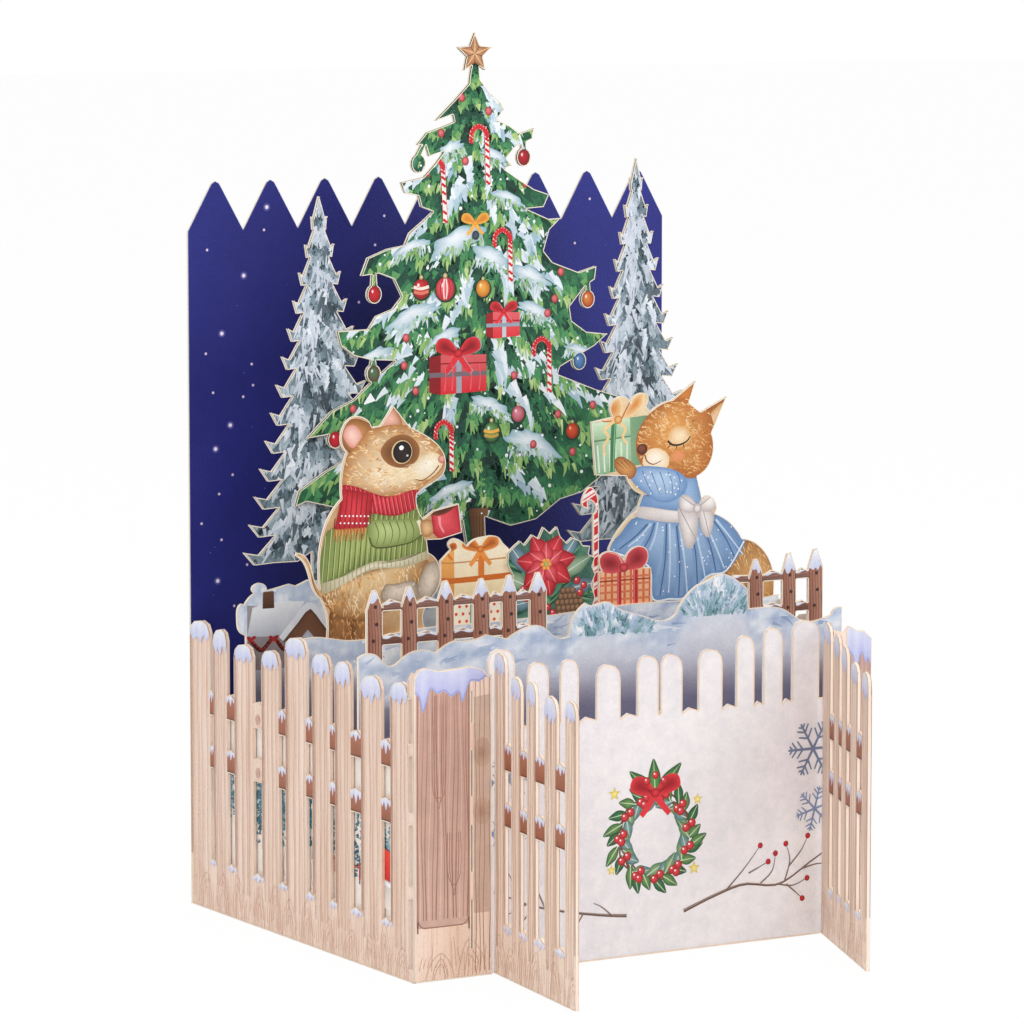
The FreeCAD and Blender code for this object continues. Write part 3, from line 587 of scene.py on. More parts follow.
def sky(strength):
    """A white backdrop that lights the card with a strength of its own."""
    world = bpy.data.worlds.new("studio")
    bpy.context.scene.world = world
    world.use_nodes = True
    tree = world.node_tree
    tree.nodes.clear()
    out, join, seen, ray = (tree.nodes.new("ShaderNode" + kind) for kind in ("OutputWorld", "MixShader", "Math",
        "LightPath"))
    seen.operation = "MAXIMUM"
    for slot, level in ((1, strength), (2, 1.0)):
        light = tree.nodes.new("ShaderNodeBackground")
        light.inputs["Color"].default_value = (1, 1, 1, 1)
        light.inputs["Strength"].default_value = level
        tree.links.new(light.outputs["Background"], join.inputs[slot])
    for slot, name in enumerate(("Is Camera Ray", "Is Glossy Ray")):
        tree.links.new(ray.outputs[name], seen.inputs[slot])
    tree.links.new(seen.outputs["Value"], join.inputs["Fac"])
    tree.links.new(join.outputs["Shader"], out.inputs["Surface"])


def lamp(name, place, size, power):
    """A square lamp that faces the card."""
    data = bpy.data.lights.new(name, "AREA")
    data.size = size
    data.energy = power
    lamp_object = bpy.data.objects.new(name, data)
    bpy.context.scene.collection.objects.link(lamp_object)
    lamp_object.location = place
    aim = Vector((0, 0.03, 0.08)) - Vector(place)
    lamp_object.rotation_euler = aim.to_track_quat("-Z", "Y").to_euler()


stage()
sky(0.62)
lamp("window_left", (-0.9, -1.1, 1.0), 0.9, 9.0)
lamp("window_right", (1.0, -1.0, 0.8), 0.9, 6.0)
lamp("overhead", (0.0, 0.1, 1.5), 1.0, 6.0)

azimuth, elevation, distance = math.radians(-30.591), math.radians(6.594), 1.0053
back = Vector((math.sin(azimuth) * math.cos(elevation), -math.cos(azimuth) * math.cos(elevation),
    math.sin(elevation)))
data = bpy.data.cameras.new("camera")
data.sensor_width = 36.0
data.lens = 5008.5 / 1024 * 36
data.clip_start = 0.05
camera = bpy.data.objects.new("camera", data)
bpy.context.scene.collection.objects.link(camera)
camera.location = Vector(((22.72 + LEFT) * 0.001, FRONT * 0.001, 0.09390)) + back * distance
camera.rotation_euler = (-back).to_track_quat("-Z", "Y").to_euler()
bpy.context.scene.camera = camera
bpy.context.scene.view_settings.view_transform = "Standard"


# The sides that carry print

SNOW = paint("fbfcff")
LILAC = paint("cfd3ea")


def gate_side(hinge, turn, outer, way):
    """A gate's side at rest: its crease's plan place, the turn of the plate in degrees and which side of it."""
    c, s = math.cos(math.radians(turn)), math.sin(math.radians(turn))
    across = np.array((c, s, 0.0))
    thick = np.array((-s, c, 0.0))
    pivot = np.array((LEFT + hinge, FRONT - HINGE_AHEAD, 0.0))
    deep = HINGE_AHEAD if outer else HINGE_AHEAD + CARD
    return Side(pivot + thick * deep, across * way, thick * (-1 if outer else 1))


def wall_side(inset, way):
    """The outer side of the left wall (way -1) or the right wall (1), or of a wall that far inside it."""
    return Side((way * (-LEFT - inset), FRONT, 0), (0, 1, 0), (way, 0, 0))


WALL = [(2.2, 9.3, 60.6), (13.2, 21.6, 60.4), (26.0, 32.6, 61.8), (34.9, 42.4, 62.2), (45.2, 54.2, 64.2),
    (57.3, 64.8, 60.1), (69.0, 77.3, 59.9), (80.8, 87.0, 61.8), (88.7, 97.9, 62.6)]
LEFT_GATE = [(0.3, 5.7, 66.1), (8.7, 13.4, 62.3), (16.5, 20.8, 62.4), (25.1, 30.8, 60.8), (34.9, 40.0, 61.2)]
RIGHT_GATE = [(0.3, 7.0, 66.6), (10.4, 15.1, 65.4), (17.4, 21.8, 63.9), (25.3, 31.1, 61.8), (35.1, 40.3, 61.2)]


def plank_paint(page, planks, seed, bare=()):
    """Rails, snow caps, grain and plank edges on a picket fence: brown bands in the gaps, snow with drips."""
    dice = np.random.default_rng(seed)
    line = "c3947c"
    board_grain(page, planks[0][0] - 1.5, planks[-1][1] + 1.0, 10.4, seed, "d9b199")
    for number, (before, after) in enumerate(zip(planks, planks[1:])):
        x0, x1 = before[1] + 0.02, after[0] - 0.02
        for low, high in ((31.2, 35.9), (42.6, 47.9)):
            if number in bare:
                page.oval(((x0 + x1) / 2, low + 1.8), 0.9, 1.1, "c9a090", "d9b6a4")
                continue
            page.band([(x0, low), (x1, low)], [(x0, high), (x1, high)], "9a5a40", "b87658", 6)
            page.line([(x0, low + 0.3), (x1, low + 0.25)], 0.5, "7e4a36", 0.5, 4)
            snow_drips(page, x0 - 0.35, x1 + 0.35, high + 0.1, 1.9, dice)
        snow_drips(page, x0 - 0.7, x1 + 0.5, 10.95, 1.3, dice)
    for number, (a0, a1, top) in enumerate(planks):
        plank_grain(page, a0 + 0.3, a1 - 0.5, 6.0, top - 3.0, seed * 40 + number, line, 4 if a1 - a0 > 5 else 3)
        page.line([(a1 - 0.3, 11.2), (a1 - 0.3, top - 3.5)], 0.5, "bd9079", 0.4, 8)
        width = a1 - a0
        share = np.array((0.0, 0.12, 0.3, 0.45, 0.62, 0.8, 1.0))
        low = top - np.array((2.6, 4.2, 3.2, 5.0, 3.8, 4.6, 2.8)) * dice.uniform(0.8, 1.15)
        knots = np.stack((a0 + share * width, low), -1)
        page.band(knots, np.stack((knots[:, 0], np.full(7, top + 1.2)), -1), "ccd0f0", SNOW, 30)


def snow_drips(page, x0, x1, top, deep, dice):
    """Snow on a rail: a rounded top and pointed icicles below."""
    knots = np.linspace(x0, x1, 7)
    low = top - deep * np.array((0.25, 0.9, 0.45, 1.35, 0.5, 1.0, 0.25)) * dice.uniform(0.7, 1.2)
    crown = top + np.array((-0.3, 0.25, 0.5, 0.55, 0.5, 0.2, -0.3))
    page.band(np.stack((knots, low), -1), np.stack((knots, crown), -1), "d3d6f2", SNOW, 24)


def draw_fences():
    """Both walls outside, and both gates on either side."""
    for way, wall, planks, bare in ((-1, "left", WALL, (5,)), (1, "right", WALL[1:], ())):
        page = Print(wall + "_wall_print", wall + "_fence_side", wall_side(0, way), "peach_wood")
        plank_paint(page, planks, 1 if way < 0 else 2, bare)
        page.finish()
    for gate, hinge, turn, way, planks, seed in (("left_gate", LEFT_HINGE, LEFT_TURN, 1, LEFT_GATE, 3),
            ("right_gate", RIGHT_HINGE, RIGHT_TURN, -1, RIGHT_GATE, 4)):
        for end, outer, depth in (("_print", True, PRINT_DEPTH), ("_inside", False, THIN_PRINT)):
            page = Print(gate + end, gate, gate_side(hinge, turn, outer, way), "gate_wood", gate, depth)
            plank_paint(page, planks, seed)
            page.finish()


def palette(colours, share):
    """The colour at each share of 0 to 1 along a row of colours."""
    row = np.array([paint(c) for c in colours])
    at = np.clip(share, 0, 1) * (len(row) - 1)
    low = np.minimum(at.astype(int), len(row) - 2)
    return blend_paint(row[low], row[low + 1], at - low)


def tufts(page, start, angle, length, wide, colours, bend, held=False, outline=None):
    """Many brush marks: each leaves its start at an angle and turns steadily by a bend over its length.

    Held marks are dropped unless they lie on the sheet; with an outline, unless their ends lie in it.
    """
    steps = np.linspace(0, 1, 4)[None]
    turn = angle[:, None] + bend[:, None] * steps
    step = np.stack((np.cos(turn), np.sin(turn)), -1) * length[:, None, None] / 4
    points = start[:, None] + np.cumsum(step, axis=1) - step[:, :1]
    keep = np.full(len(points), True)
    if held:
        keep = page.sheet.holds(points[:, (0, 2, 3)]).all(axis=1)
    if outline is not None:
        keep = inside(outline, points[:, (0, 3)]).all(axis=1)
    points, wide, colours = points[keep], wide[keep], colours[keep]
    if len(points):
        page.lines(points, wide, colours)


def fur(page, outline, count, angle, colours, seed, length=1.6, wide=0.28, spread=0.5, light=None):
    """Short marks all over an outline, along one angle with some spread, lighter towards a given point."""
    dice = np.random.default_rng(seed)
    edge = curve(outline, 40, True)
    low, high = edge.min(axis=0), edge.max(axis=0)
    start = dice.uniform(low, high, (count, 2))
    start = start[inside(edge, start)]
    n = len(start)
    share = 0.5 + 0.3 * drift(start, 5.0, seed) + dice.normal(0, 0.16, n)
    if light is not None:
        share += 0.35 - 0.7 * np.linalg.norm(start - np.asarray(light), axis=1) / np.linalg.norm(high - low)
    tufts(page, start, math.radians(angle) + dice.normal(0, spread, n), dice.uniform(0.6, 1.1, n) * length,
        dice.uniform(0.6, 1.2, n) * wide, palette(colours, share), dice.normal(0, 0.4, n), outline=edge)


def conifer(page, middle, hems, greens, snows, seed, brush, snow_share, spacing=4.4):
    """A painted conifer, tier by tier from the lowest: boughs that fan out, droop and end at the tier's hem.

    Marks lie along each bough: dark at its root, light at its tip, hanging from its lower edge. Snow lies
    along its upper edge, white above and blue below.
    """
    dice = np.random.default_rng(seed)
    low, high = page.sheet.edges[0].min(axis=0), page.sheet.edges[0].max(axis=0)
    start = dice.uniform((low[0], hems[0] - 2), (high[0], hems[-1] + 2), (2600, 2))
    start = start[page.sheet.holds(start)]
    start = start[np.argsort(start[:, 1])]
    n = len(start)
    lean = (start[:, 0] - middle) / (high[0] - low[0])
    tone = 0.34 + 0.30 * drift(start, 9.0, seed + 9) + dice.normal(0, 0.12, n)
    tufts(page, start, np.radians(-90 + 110 * lean) + dice.normal(0, 0.25, n), dice.uniform(2.2, 5.0, n),
        dice.uniform(1.0, 2.2, n), palette(greens, tone), dice.normal(0, 0.3, n))
    for hem, upper in zip(hems, hems[1:]):
        period = upper - hem
        levels = np.linspace(hem - 0.2 * period, hem + 0.6 * period, 5)
        ends = np.array([page.sheet.reach(level) for level in levels])
        left, right = middle - ends[:, 0].min(), ends[:, 1].max() - middle
        boughs = int((left + right) / 2 / spacing) + 4
        u = np.linspace(-1, 1, boughs) + dice.uniform(-0.6, 0.6, boughs) / boughs
        u = u[np.argsort(-np.abs(u))][:, None]
        wide = np.where(u < 0, left, right)
        drop = dice.uniform(-0.18, 0.30, (boughs, 1)) * period
        s = np.sort(dice.uniform(0, 1, (boughs, 54)) ** 0.8, axis=1)[:, ::-1]
        t = dice.uniform(-1, 1, (boughs, 54))
        slope_x = 0.8 * wide * u
        slope_z = -1.9 * period * s ** 0.6
        size = np.maximum(np.hypot(slope_x, slope_z), 1e-6)
        tangent = np.stack((slope_x / size, slope_z / size), -1)
        upward = upright(tangent)
        upward *= np.where(upward[..., 1:] < 0, -1, 1)
        half = 0.36 * period * (1 - 0.65 * s)
        start = np.stack((middle + wide * u * (0.2 + 0.8 * s), hem + drop + period * (1.3 - 1.2 * s ** 1.6)), -1)
        start = start + upward * (t * half)[..., None]
        run = tangent + np.where(t < 0, 0.95, 0.15)[..., None] * np.array((0.0, -1.0))
        angle = np.arctan2(run[..., 1], run[..., 0]) + dice.normal(0, 0.13, s.shape)
        snowy = np.clip(drift(start, 16.0, seed + 5) + snow_share, 0, 1)
        loaded = (dice.uniform(0, 1, (boughs, 1)) < 1.6 * snow_share) & (t > 0.35 - 0.7 * snowy)
        loaded &= (s > 0.15) & (s < 0.85)
        tone = 0.02 + 0.80 * s ** 1.5 - 0.12 * t + dice.normal(0, 0.07, s.shape)
        colours = palette(greens, tone)
        colours[loaded] = palette(snows, 0.40 + 0.5 * t[loaded] + dice.normal(0, 0.10, loaded.sum()))
        length = period * (0.24 + 0.26 * dice.uniform(0, 1, s.shape)) * np.where(loaded, 1.2, 1.0)
        thick = brush * dice.uniform(0.7, 1.3, s.shape) * np.where(loaded, 1.25, 1.0) * (1.3 - 0.6 * s)
        bend = -0.3 * np.sign(u) + dice.normal(0, 0.2, s.shape)
        for part in (~loaded, loaded):
            if part.any():
                tufts(page, start[part], angle[part], length[part], thick[part], colours[part], bend[part])


GREENS = ["0f2c24", "1a4a38", "2b6c4a", "4f955c", "93bb6c", "cfe09c"]
SNOWS = ["6f9aa6", "9fbdcc", "c3d6e0", "e3edf3", "fbfdff"]
FROSTS = ["36444c", "576a74", "8496a1", "adbac4", "d9e0e7"]
RED, RED_DARK, RED_LIGHT = paint("d3202c"), paint("8e0f1a"), paint("f27a80")
GOLD, GOLD_DARK = paint("f4b24a"), paint("b5651d")


def star(at, outer, inner):
    """The ten corners of a five pointed star."""
    return [(at[0] + r * math.cos(a), at[1] + r * math.sin(a)) for r, a in ((inner if k % 2 else outer,
        math.pi / 2 + k * math.pi / 5) for k in range(10))]


def bauble(page, at, radius, main, dark, light, bands=()):
    """A glass ball with a cap, a highlight and bands that bulge with it."""
    page.oval((at[0] + 0.15, at[1] - 0.2), radius * 1.18, radius * 1.2, "0e2f22", "17402c")
    page.oval(at, radius, radius * 1.1, main, dark, 0, (-0.2 * radius, 0.25 * radius))
    for level, colour in bands:
        half = math.sqrt(max(1 - level ** 2, 0.05)) * radius * 0.96
        y = at[1] + level * radius
        page.line([(at[0] - half, y + 0.15), (at[0], y - 0.25), (at[0] + half, y + 0.15)], 0.34 * radius, colour,
            0.34 * radius, 9)
    page.oval((at[0] - 0.35 * radius, at[1] + 0.4 * radius), 0.2 * radius, 0.28 * radius, light, main)
    page.oval((at[0], at[1] + 1.25 * radius), 0.24 * radius, 0.26 * radius, "e9d9a8", "8a6f3c")


def cane(page, top, foot, wide):
    """A striped sweet cane: a white hook and shaft with slanting red bars."""
    top, foot = np.asarray(top, float), np.asarray(foot, float)
    size = 2.6 * wide
    hook = [foot, foot + (top - foot) * 0.5, top - (0, 0.6 * size), top + (-0.10 * size, 0.0),
        top + (-0.75 * size, 0.42 * size), top + (-1.4 * size, 0.0), top + (-1.5 * size, -0.9 * size)]
    page.line(hook, wide * 1.25, "b8342e", wide * 1.1, 26)
    page.line(hook, wide, "fbf1ec", wide * 0.9, 26)
    path = curve(hook, 60)
    run = np.gradient(path, axis=0)
    run /= np.linalg.norm(run, axis=1, keepdims=True)
    normal = upright(run)
    at = np.arange(1, 59, 3)
    marks = np.stack((path[at] - normal[at] * wide * 0.46 - run[at] * wide * 0.4,
        path[at] + normal[at] * wide * 0.46 + run[at] * wide * 0.4), 1)
    page.lines(marks, np.full(len(at), wide * 0.55), RED, np.full(len(at), wide * 0.55), 2)


def parcel(page, low, high, face, edge, ribbon, ribbon_dark, tie=0.5, wide=1.1):
    """A wrapped box seen from the front, a little turned: a side, a lid line, ribbons and a bow."""
    x0, z0, x1, z1 = low[0], low[1], high[0], high[1]
    side = x0 + 0.2 * (x1 - x0)
    page.band([(x0, z0 + 0.6), (side, z0)], [(x0, z1 - 0.4), (side, z1)], edge, edge, 4)
    page.band([(side, z0), (x1, z0 + 0.4)], [(side, z1), (x1, z1 - 0.3)], face, blend_paint(face, SNOW, 0.10), 4)
    page.line([(x0, z1 - 2.0), (side, z1 - 1.9), (x1, z1 - 2.1)], 0.28, edge, 0.28, 6)
    at = side + tie * (x1 - side)
    page.line([(at, z0 + 0.2), (at, z1 - 0.2)], wide, ribbon, wide, 4)
    page.line([(x0, (z0 + z1) / 2), (x1, (z0 + z1) / 2)], wide * 0.8, ribbon_dark, wide * 0.8, 4)
    bow(page, (at, z1), 0.30 * (x1 - x0), ribbon, ribbon_dark)


def bow(page, at, size, main, dark):
    """Two loops, two tails and a knot."""
    x, z = at
    for way in (-1, 1):
        loop = [(x, z), (x + way * 0.5 * size, z + 0.75 * size), (x + way * 1.15 * size, z + 0.8 * size),
            (x + way * 1.3 * size, z + 0.25 * size), (x + way * 0.6 * size, z - 0.05 * size)]
        page.wash(loop, (x + way * 0.8 * size, z + 0.4 * size), dark, main, count=26)
        page.line([(x, z), (x + way * 0.7 * size, z + 0.35 * size)], 0.16 * size, dark, 0.05 * size, 6)
        page.line([(x, z), (x + way * 0.35 * size, z - 0.5 * size), (x + way * 0.75 * size, z - 0.95 * size)],
            0.34 * size, main, 0.26 * size, 8)
    page.oval((x, z + 0.05 * size), 0.24 * size, 0.22 * size, main, dark)


def draw_tree():
    page = Print("tree_paint", "decorated_tree", facing(3 * PITCH - 2 * CARD), "tree_print")
    hems = [50.0 + 1.345 * h for h in (21.5, 25.5, 31.5, 38.0, 45.0, 52.0, 58.5, 65.0, 71.0, 76.5, 81.5, 86.0, 90.5,
        94.5, 98.0)]
    conifer(page, 57.0, hems, GREENS, SNOWS, 11, 1.45, 0.30)
    dice = np.random.default_rng(5)
    masses = ((52.0, 143.6, 6.5, 3.0), (60.5, 139.6, 4.6, 2.4), (41.0, 127.8, 6.4, 2.4), (48.5, 122.6, 4.2, 1.8),
        (70.6, 135.2, 4.6, 2.2), (71.6, 127.6, 4.6, 1.8), (71.0, 98.6, 7.0, 3.0), (50.2, 163.2, 3.2, 1.8),
        (61.0, 161.6, 3.4, 1.6), (40.4, 142.4, 4.6, 1.5), (31.5, 119.6, 4.8, 1.6), (60.0, 107.6, 5.0, 1.8),
        (83.0, 118.6, 4.0, 1.2), (36.0, 96.6, 6.0, 1.8), (64.4, 152.6, 4.0, 1.5), (50.0, 89.6, 5.6, 1.5))
    for x, z, wide, high in masses:
        turn = np.linspace(0, 2 * np.pi, 25)[:-1]
        ragged = 1 + dice.uniform(-0.16, 0.16, 24) - 0.35 * (np.sin(turn) < -0.2) * dice.uniform(0, 1, 24)
        lean = 0.35 if x < 57 else -0.35
        x_of, z_of = wide * ragged * np.cos(turn), high * ragged * np.sin(turn) - 0.10 * wide * np.cos(turn) ** 2
        rim = np.stack((x + x_of, z + z_of + lean * x_of), -1)
        page.wash(rim, (x - 0.1 * wide, z + 0.3 * high), "eef4f8", "8fb4c2", count=60)
        n = 44
        along = dice.uniform(-0.95, 0.95, n)
        start = np.stack((x + along * wide, z + lean * along * wide - 0.12 * wide * along ** 2 - dice.uniform(0.1,
            0.8, n) * high), -1)
        tufts(page, start, np.radians(-90 + 40 * along - 25 * lean), dice.uniform(1.2, 3.0, n),
            dice.uniform(0.5, 1.1, n), palette(["3f8a5c", "93bb6c", "b9d0c4", "c3d6e0", "eef4f8"],
            dice.uniform(0, 1, n)), dice.normal(0, 0.3, n))
    trunk = [(54.9, 60.0), (55.4, 76.0), (54.6, 85.5)]
    page.band(trunk, [(59.4, 60.0), (58.6, 76.0), (59.6, 85.5)], "5a3823", "8c6140", 14)
    for k in range(6):
        page.line([(55.4 + 0.7 * k, 61), (55.6 + 0.6 * k, 72), (55.1 + 0.75 * k, 84)], 0.22, "3f2617", 0.1, 8)
    specks = dice.uniform((24, 84), (92, 180), (420, 2))
    specks = specks[page.sheet.holds(specks)][:110]
    page.dots(specks, dice.uniform(0.16, 0.42, len(specks)), "f7fafc")
    reds = [(53.0, 174.3), (59.7, 171.3), (53.9, 160.7), (39.2, 123.2), (38.7, 117.3), (41.5, 111.7), (26.2, 108.6),
        (66.1, 114.0), (74.5, 127.2), (76.3, 130.3), (77.9, 136.1), (77.2, 105.0), (80.9, 96.6), (86.1, 106.6),
        (70.9, 98.7), (47.9, 166.8), (68.9, 155.6)]
    for x, z in reds:
        page.oval((x, z), 0.85, 0.95, RED_LIGHT, RED_DARK, 0, (-0.25, 0.3))
    for top, foot in (((59.2, 167.0), (59.5, 155.6)), ((48.3, 160.2), (48.9, 147.6)), ((65.0, 144.6), (65.2, 134.6)),
            ((74.9, 120.6), (75.0, 110.0)), ((50.3, 103.6), (50.4, 94.0))):
        cane(page, top, foot, 1.0)
    bow(page, (56.3, 147.3), 2.6, GOLD, "d98127")
    page.oval((56.4, 144.7), 0.9, 1.0, "4a5a66", "15242c")
    bauble(page, (42.9, 133.6), 2.0, "d8332f", RED_DARK, SNOW, ((0.15, "f4e6d6"), (-0.35, "e27a62")))
    bauble(page, (48.8, 133.4), 2.3, "ef6a72", "b3222c", SNOW)
    for shift in (-1.2, -0.4, 0.5, 1.3):
        page.line([(48.8 + 0.5 * shift, 135.6), (48.8 + shift, 133.4), (48.8 + 0.5 * shift, 131.2)], 0.35,
            "f8d9d4" if abs(shift) < 0.6 else "c5202c", 0.3, 8)
    bauble(page, (58.2, 133.2), 1.7, GOLD, "c06a1c", "fdf0cc")
    bauble(page, (60.3, 102.0), 2.0, "6fa05a", "2f5a2c", SNOW, ((0.1, GOLD), (-0.4, "c9a24a")))
    bauble(page, (67.0, 105.6), 1.6, "e58c9a", "a53a4c", SNOW)
    bauble(page, (80.8, 101.2), 1.6, "e0522c", "96280f", "fbd9b8")
    parcel(page, (59.0, 122.2), (67.4, 128.0), "e2303a", "9c1722", "c3ced6", "93a3b3", 0.42, 1.0)
    bow(page, (63.4, 128.0), 2.6, "e2303a", "9c1722")
    parcel(page, (44.8, 110.6), (59.0, 119.2), "dc2430", "8e0f1a", "9fa9b4", "7a6a72", 0.4, 1.3)
    bow(page, (52.0, 119.2), 4.2, "e2303a", "8e0f1a")
    for x in (48.6, 50.4, 55.0, 57.2):
        page.line([(x, 111.4), (x + 0.3, 114.5), (x, 117.0)], 0.35, "f0606a", 0.15, 8)
    for x, z, main, dark in ((40.9, 161.0, "57a07c", "1f5a44"), (31.4, 132.9, RED, RED_DARK),
            (31.2, 115.9, "4f7a55", "5a3424"), (68.4, 161.2, "c01f2b", "75101a"), (84.7, 129.9, "e08a3a", "a3281c"),
            (82.6, 116.4, "5f8fc0", "2c5284"), (21.8, 102.3, RED, RED_DARK)):
        page.oval((x, z), 1.45, 1.75, main, dark, 0, (-0.4, 0.5))
        page.oval((x - 0.45, z + 0.6), 0.3, 0.45, SNOW, main)
    points = star((56.2, 183.7), 4.3, 2.0)
    page.wash(points, (56.2, 183.7), "d9a074", "8a5432", smooth=False)
    for k in range(10):
        page.line([(56.2, 183.7), points[k]], 0.35 if k % 2 == 0 else 0.2, "5a2f1a" if k % 2 else "e8b98a", 0.1, 4)
    page.finish()


def draw_spruces():
    for name, node, middle, top, seed in (("left_frost_paint", "left_frosted_tree", 18.8, 154.0, 41),
            ("right_frost_paint", "right_frosted_tree", 97.9, 160.3, 47)):
        page = Print(name, node, facing(3 * PITCH), "frost_print")
        hems = list(np.linspace(75.0, top - 4.0, 15)) + [top + 1]
        conifer(page, middle, hems, FROSTS, ["8fa3b0", "b3c1cd", "d3dce6", "eef2f8"], seed, 1.15, 0.34, 3.6)
        dice = np.random.default_rng(seed)
        n = 420
        level = dice.uniform(78, top - 6, n)
        start = np.stack((middle + dice.uniform(-0.8, 0.8, n) * 20 * (top - level) / (top - 77.5), level), -1)
        field = drift(start, 15.0, seed + 3) + 0.4 * (start[:, 0] < middle)
        chosen = np.abs(field) > 0.35
        tufts(page, start[chosen], np.radians(dice.normal(-90, 20, n))[chosen], dice.uniform(2.5, 5.5, n)[chosen],
            dice.uniform(0.5, 1.3, n)[chosen], palette(["3a474f", "6d7c87", "b9c3ce", "d6dce6"],
            0.5 + 0.6 * field[chosen]), dice.normal(0, 0.2, n)[chosen])
        page.finish()


def draw_sky():
    page = Print("sky_paint", "night_sky_panel", facing(DEPTH - CARD), "night_print")
    stars = [(18.4, 145.7), (4.6, 141.8), (4.1, 119.5), (15.2, 116.8), (5.8, 111.0), (13.1, 109.8), (15.5, 112.2),
        (10.4, 93.0), (7.1, 89.0), (2.8, 82.8), (7.6, 79.0), (13.8, 73.2), (10.6, 64.4), (48.1, 147.9), (45.8, 141.6),
        (41.7, 129.2), (100.8, 150.2), (96.9, 140.4)]
    glow = [(19.1, 150.6), (13.4, 136.0), (8.0, 123.7), (9.9, 103.8), (6.3, 98.8), (6.6, 70.1)]

    def night(flat):
        """Deep blue, lighter to the right, with a painted shadow of the tree: darker about the tree."""
        x, z = flat[..., 0], flat[..., 1]
        # painted shadow that the tree casts on the sky: deepest behind the tree, fading to the sides and above 120 mm
        tree_shadow = np.exp(-((x - 55) / 30) ** 2 - np.maximum(z - 120, 0) ** 2 / 900)
        blue = palette(["1b1f72", "23287f", "2d3390"], 0.45 * x / 120 + 0.3 + 0.2 * drift(flat, 40.0, 7))
        return blend_paint(blue, "101448", 0.75 * tree_shadow)

    painted_field(page, (0.0, 40.0), (120.0, 160.0), 2.0, night)
    dice = np.random.default_rng(8)
    far = dice.uniform((3, 60), (117, 150), (90, 2))
    page.dots(far, dice.uniform(0.07, 0.14, 90), "6a6cae")
    for x, z in stars:
        page.oval((x, z), 0.5, 0.5, "6f66b4", "1b2370")
    page.dots(stars, 0.27, "f4dfe8")
    for x, z in glow:
        page.oval((x, z), 1.0, 1.0, "7d74c4", "1b2370")
        page.oval((x, z), 0.45, 0.45, "ffffff", "d3c0e4")
    page.finish(0.12, "8d94c8")


def draw_snow():
    for number, layer in enumerate(("front", "middle", "rear"), 1):
        page = Print(layer + "_snow_paint", layer + "_snow_layer", facing(number * PITCH - CARD), "snow_print")
        seed, sheet = 60 + number, page.sheet
        dice = np.random.default_rng(seed)

        def snow(flat, sheet=sheet, seed=seed):
            """Light blue mottled snow under the crest, then white, then lilac grey that deepens downward: painted
            shade, low in the box behind the layer in front.
            """
            under = sheet.top(flat[0, :, 0])[None] - flat[..., 1]
            pools = drift(flat * (0.7, 1.2), 7.0, seed) + 0.5 * drift(flat, 2.6, seed + 1)
            light = palette(["9fb1d0", "b6c5de", "cdd8ea", "e6ecf6", "f8fafd"], 0.5 + 0.36 * pools)
            # painted shade: lilac grey that deepens below 62 mm towards the foot of the layer
            lower = palette(["e6e8f1", "dcdde8", "c9c8d5", "a5a1b1", "85819a"],
                np.clip((62.0 - flat[..., 1]) / 13.0, 0, 1))
            return blend_paint(light, lower, np.clip((under - 5.0 - 2.0 * pools) / 4.0, 0, 1))

        painted_field(page, (0.0, 36.0), (120.0, 80.0), 0.8, snow)
        n = 200
        start = np.stack((dice.uniform(0, 116, n), dice.uniform(50, 76, n)), -1)
        start = start[sheet.holds(start)]
        start = start[sheet.top(start[:, 0]) - start[:, 1] < 7]
        n = len(start)
        tufts(page, start, dice.normal(0.05, 0.25, n), dice.uniform(2, 6, n), dice.uniform(0.4, 1.1, n),
            palette(["93a8ca", "c3d0e6", "ffffff"], dice.uniform(0, 1, n)), dice.normal(0, 0.3, n), True)
        if layer == "front":
            bush(page, 50.6, 70.6, 64)
            bush(page, 76.4, 95.6, 65)
        if layer == "rear":
            draw_house(page)
        page.finish()


def bush(page, x0, x1, seed):
    """A round bush under snow: fine streaks that fan out from its foot, teal low down and white on top."""
    dice = np.random.default_rng(seed)
    n = 620
    foot = float(min(page.sheet.top(np.array((x0, x1)))))
    start = np.stack((dice.uniform(x0, x1, n), dice.uniform(foot - 0.5, foot + 8.5, n)), -1)
    start = start[page.sheet.holds(start)]
    start = start[np.argsort(-start[:, 1])]
    n = len(start)
    away = (start[:, 0] - (x0 + x1) / 2) / (x1 - x0)
    tone = 0.35 + 0.4 * drift(start, 4.0, seed) + dice.normal(0, 0.16, n) + 0.35 * (start[:, 1] - foot) / 8
    tufts(page, start, np.radians(90 - 100 * away) + dice.normal(0, 0.12, n), dice.uniform(1.6, 3.6, n),
        dice.uniform(0.5, 1.1, n), palette(["6f9aa0", "93b8be", "aec6da", "dbe7f0", "ffffff"], tone),
        dice.normal(0, 0.3, n), True)


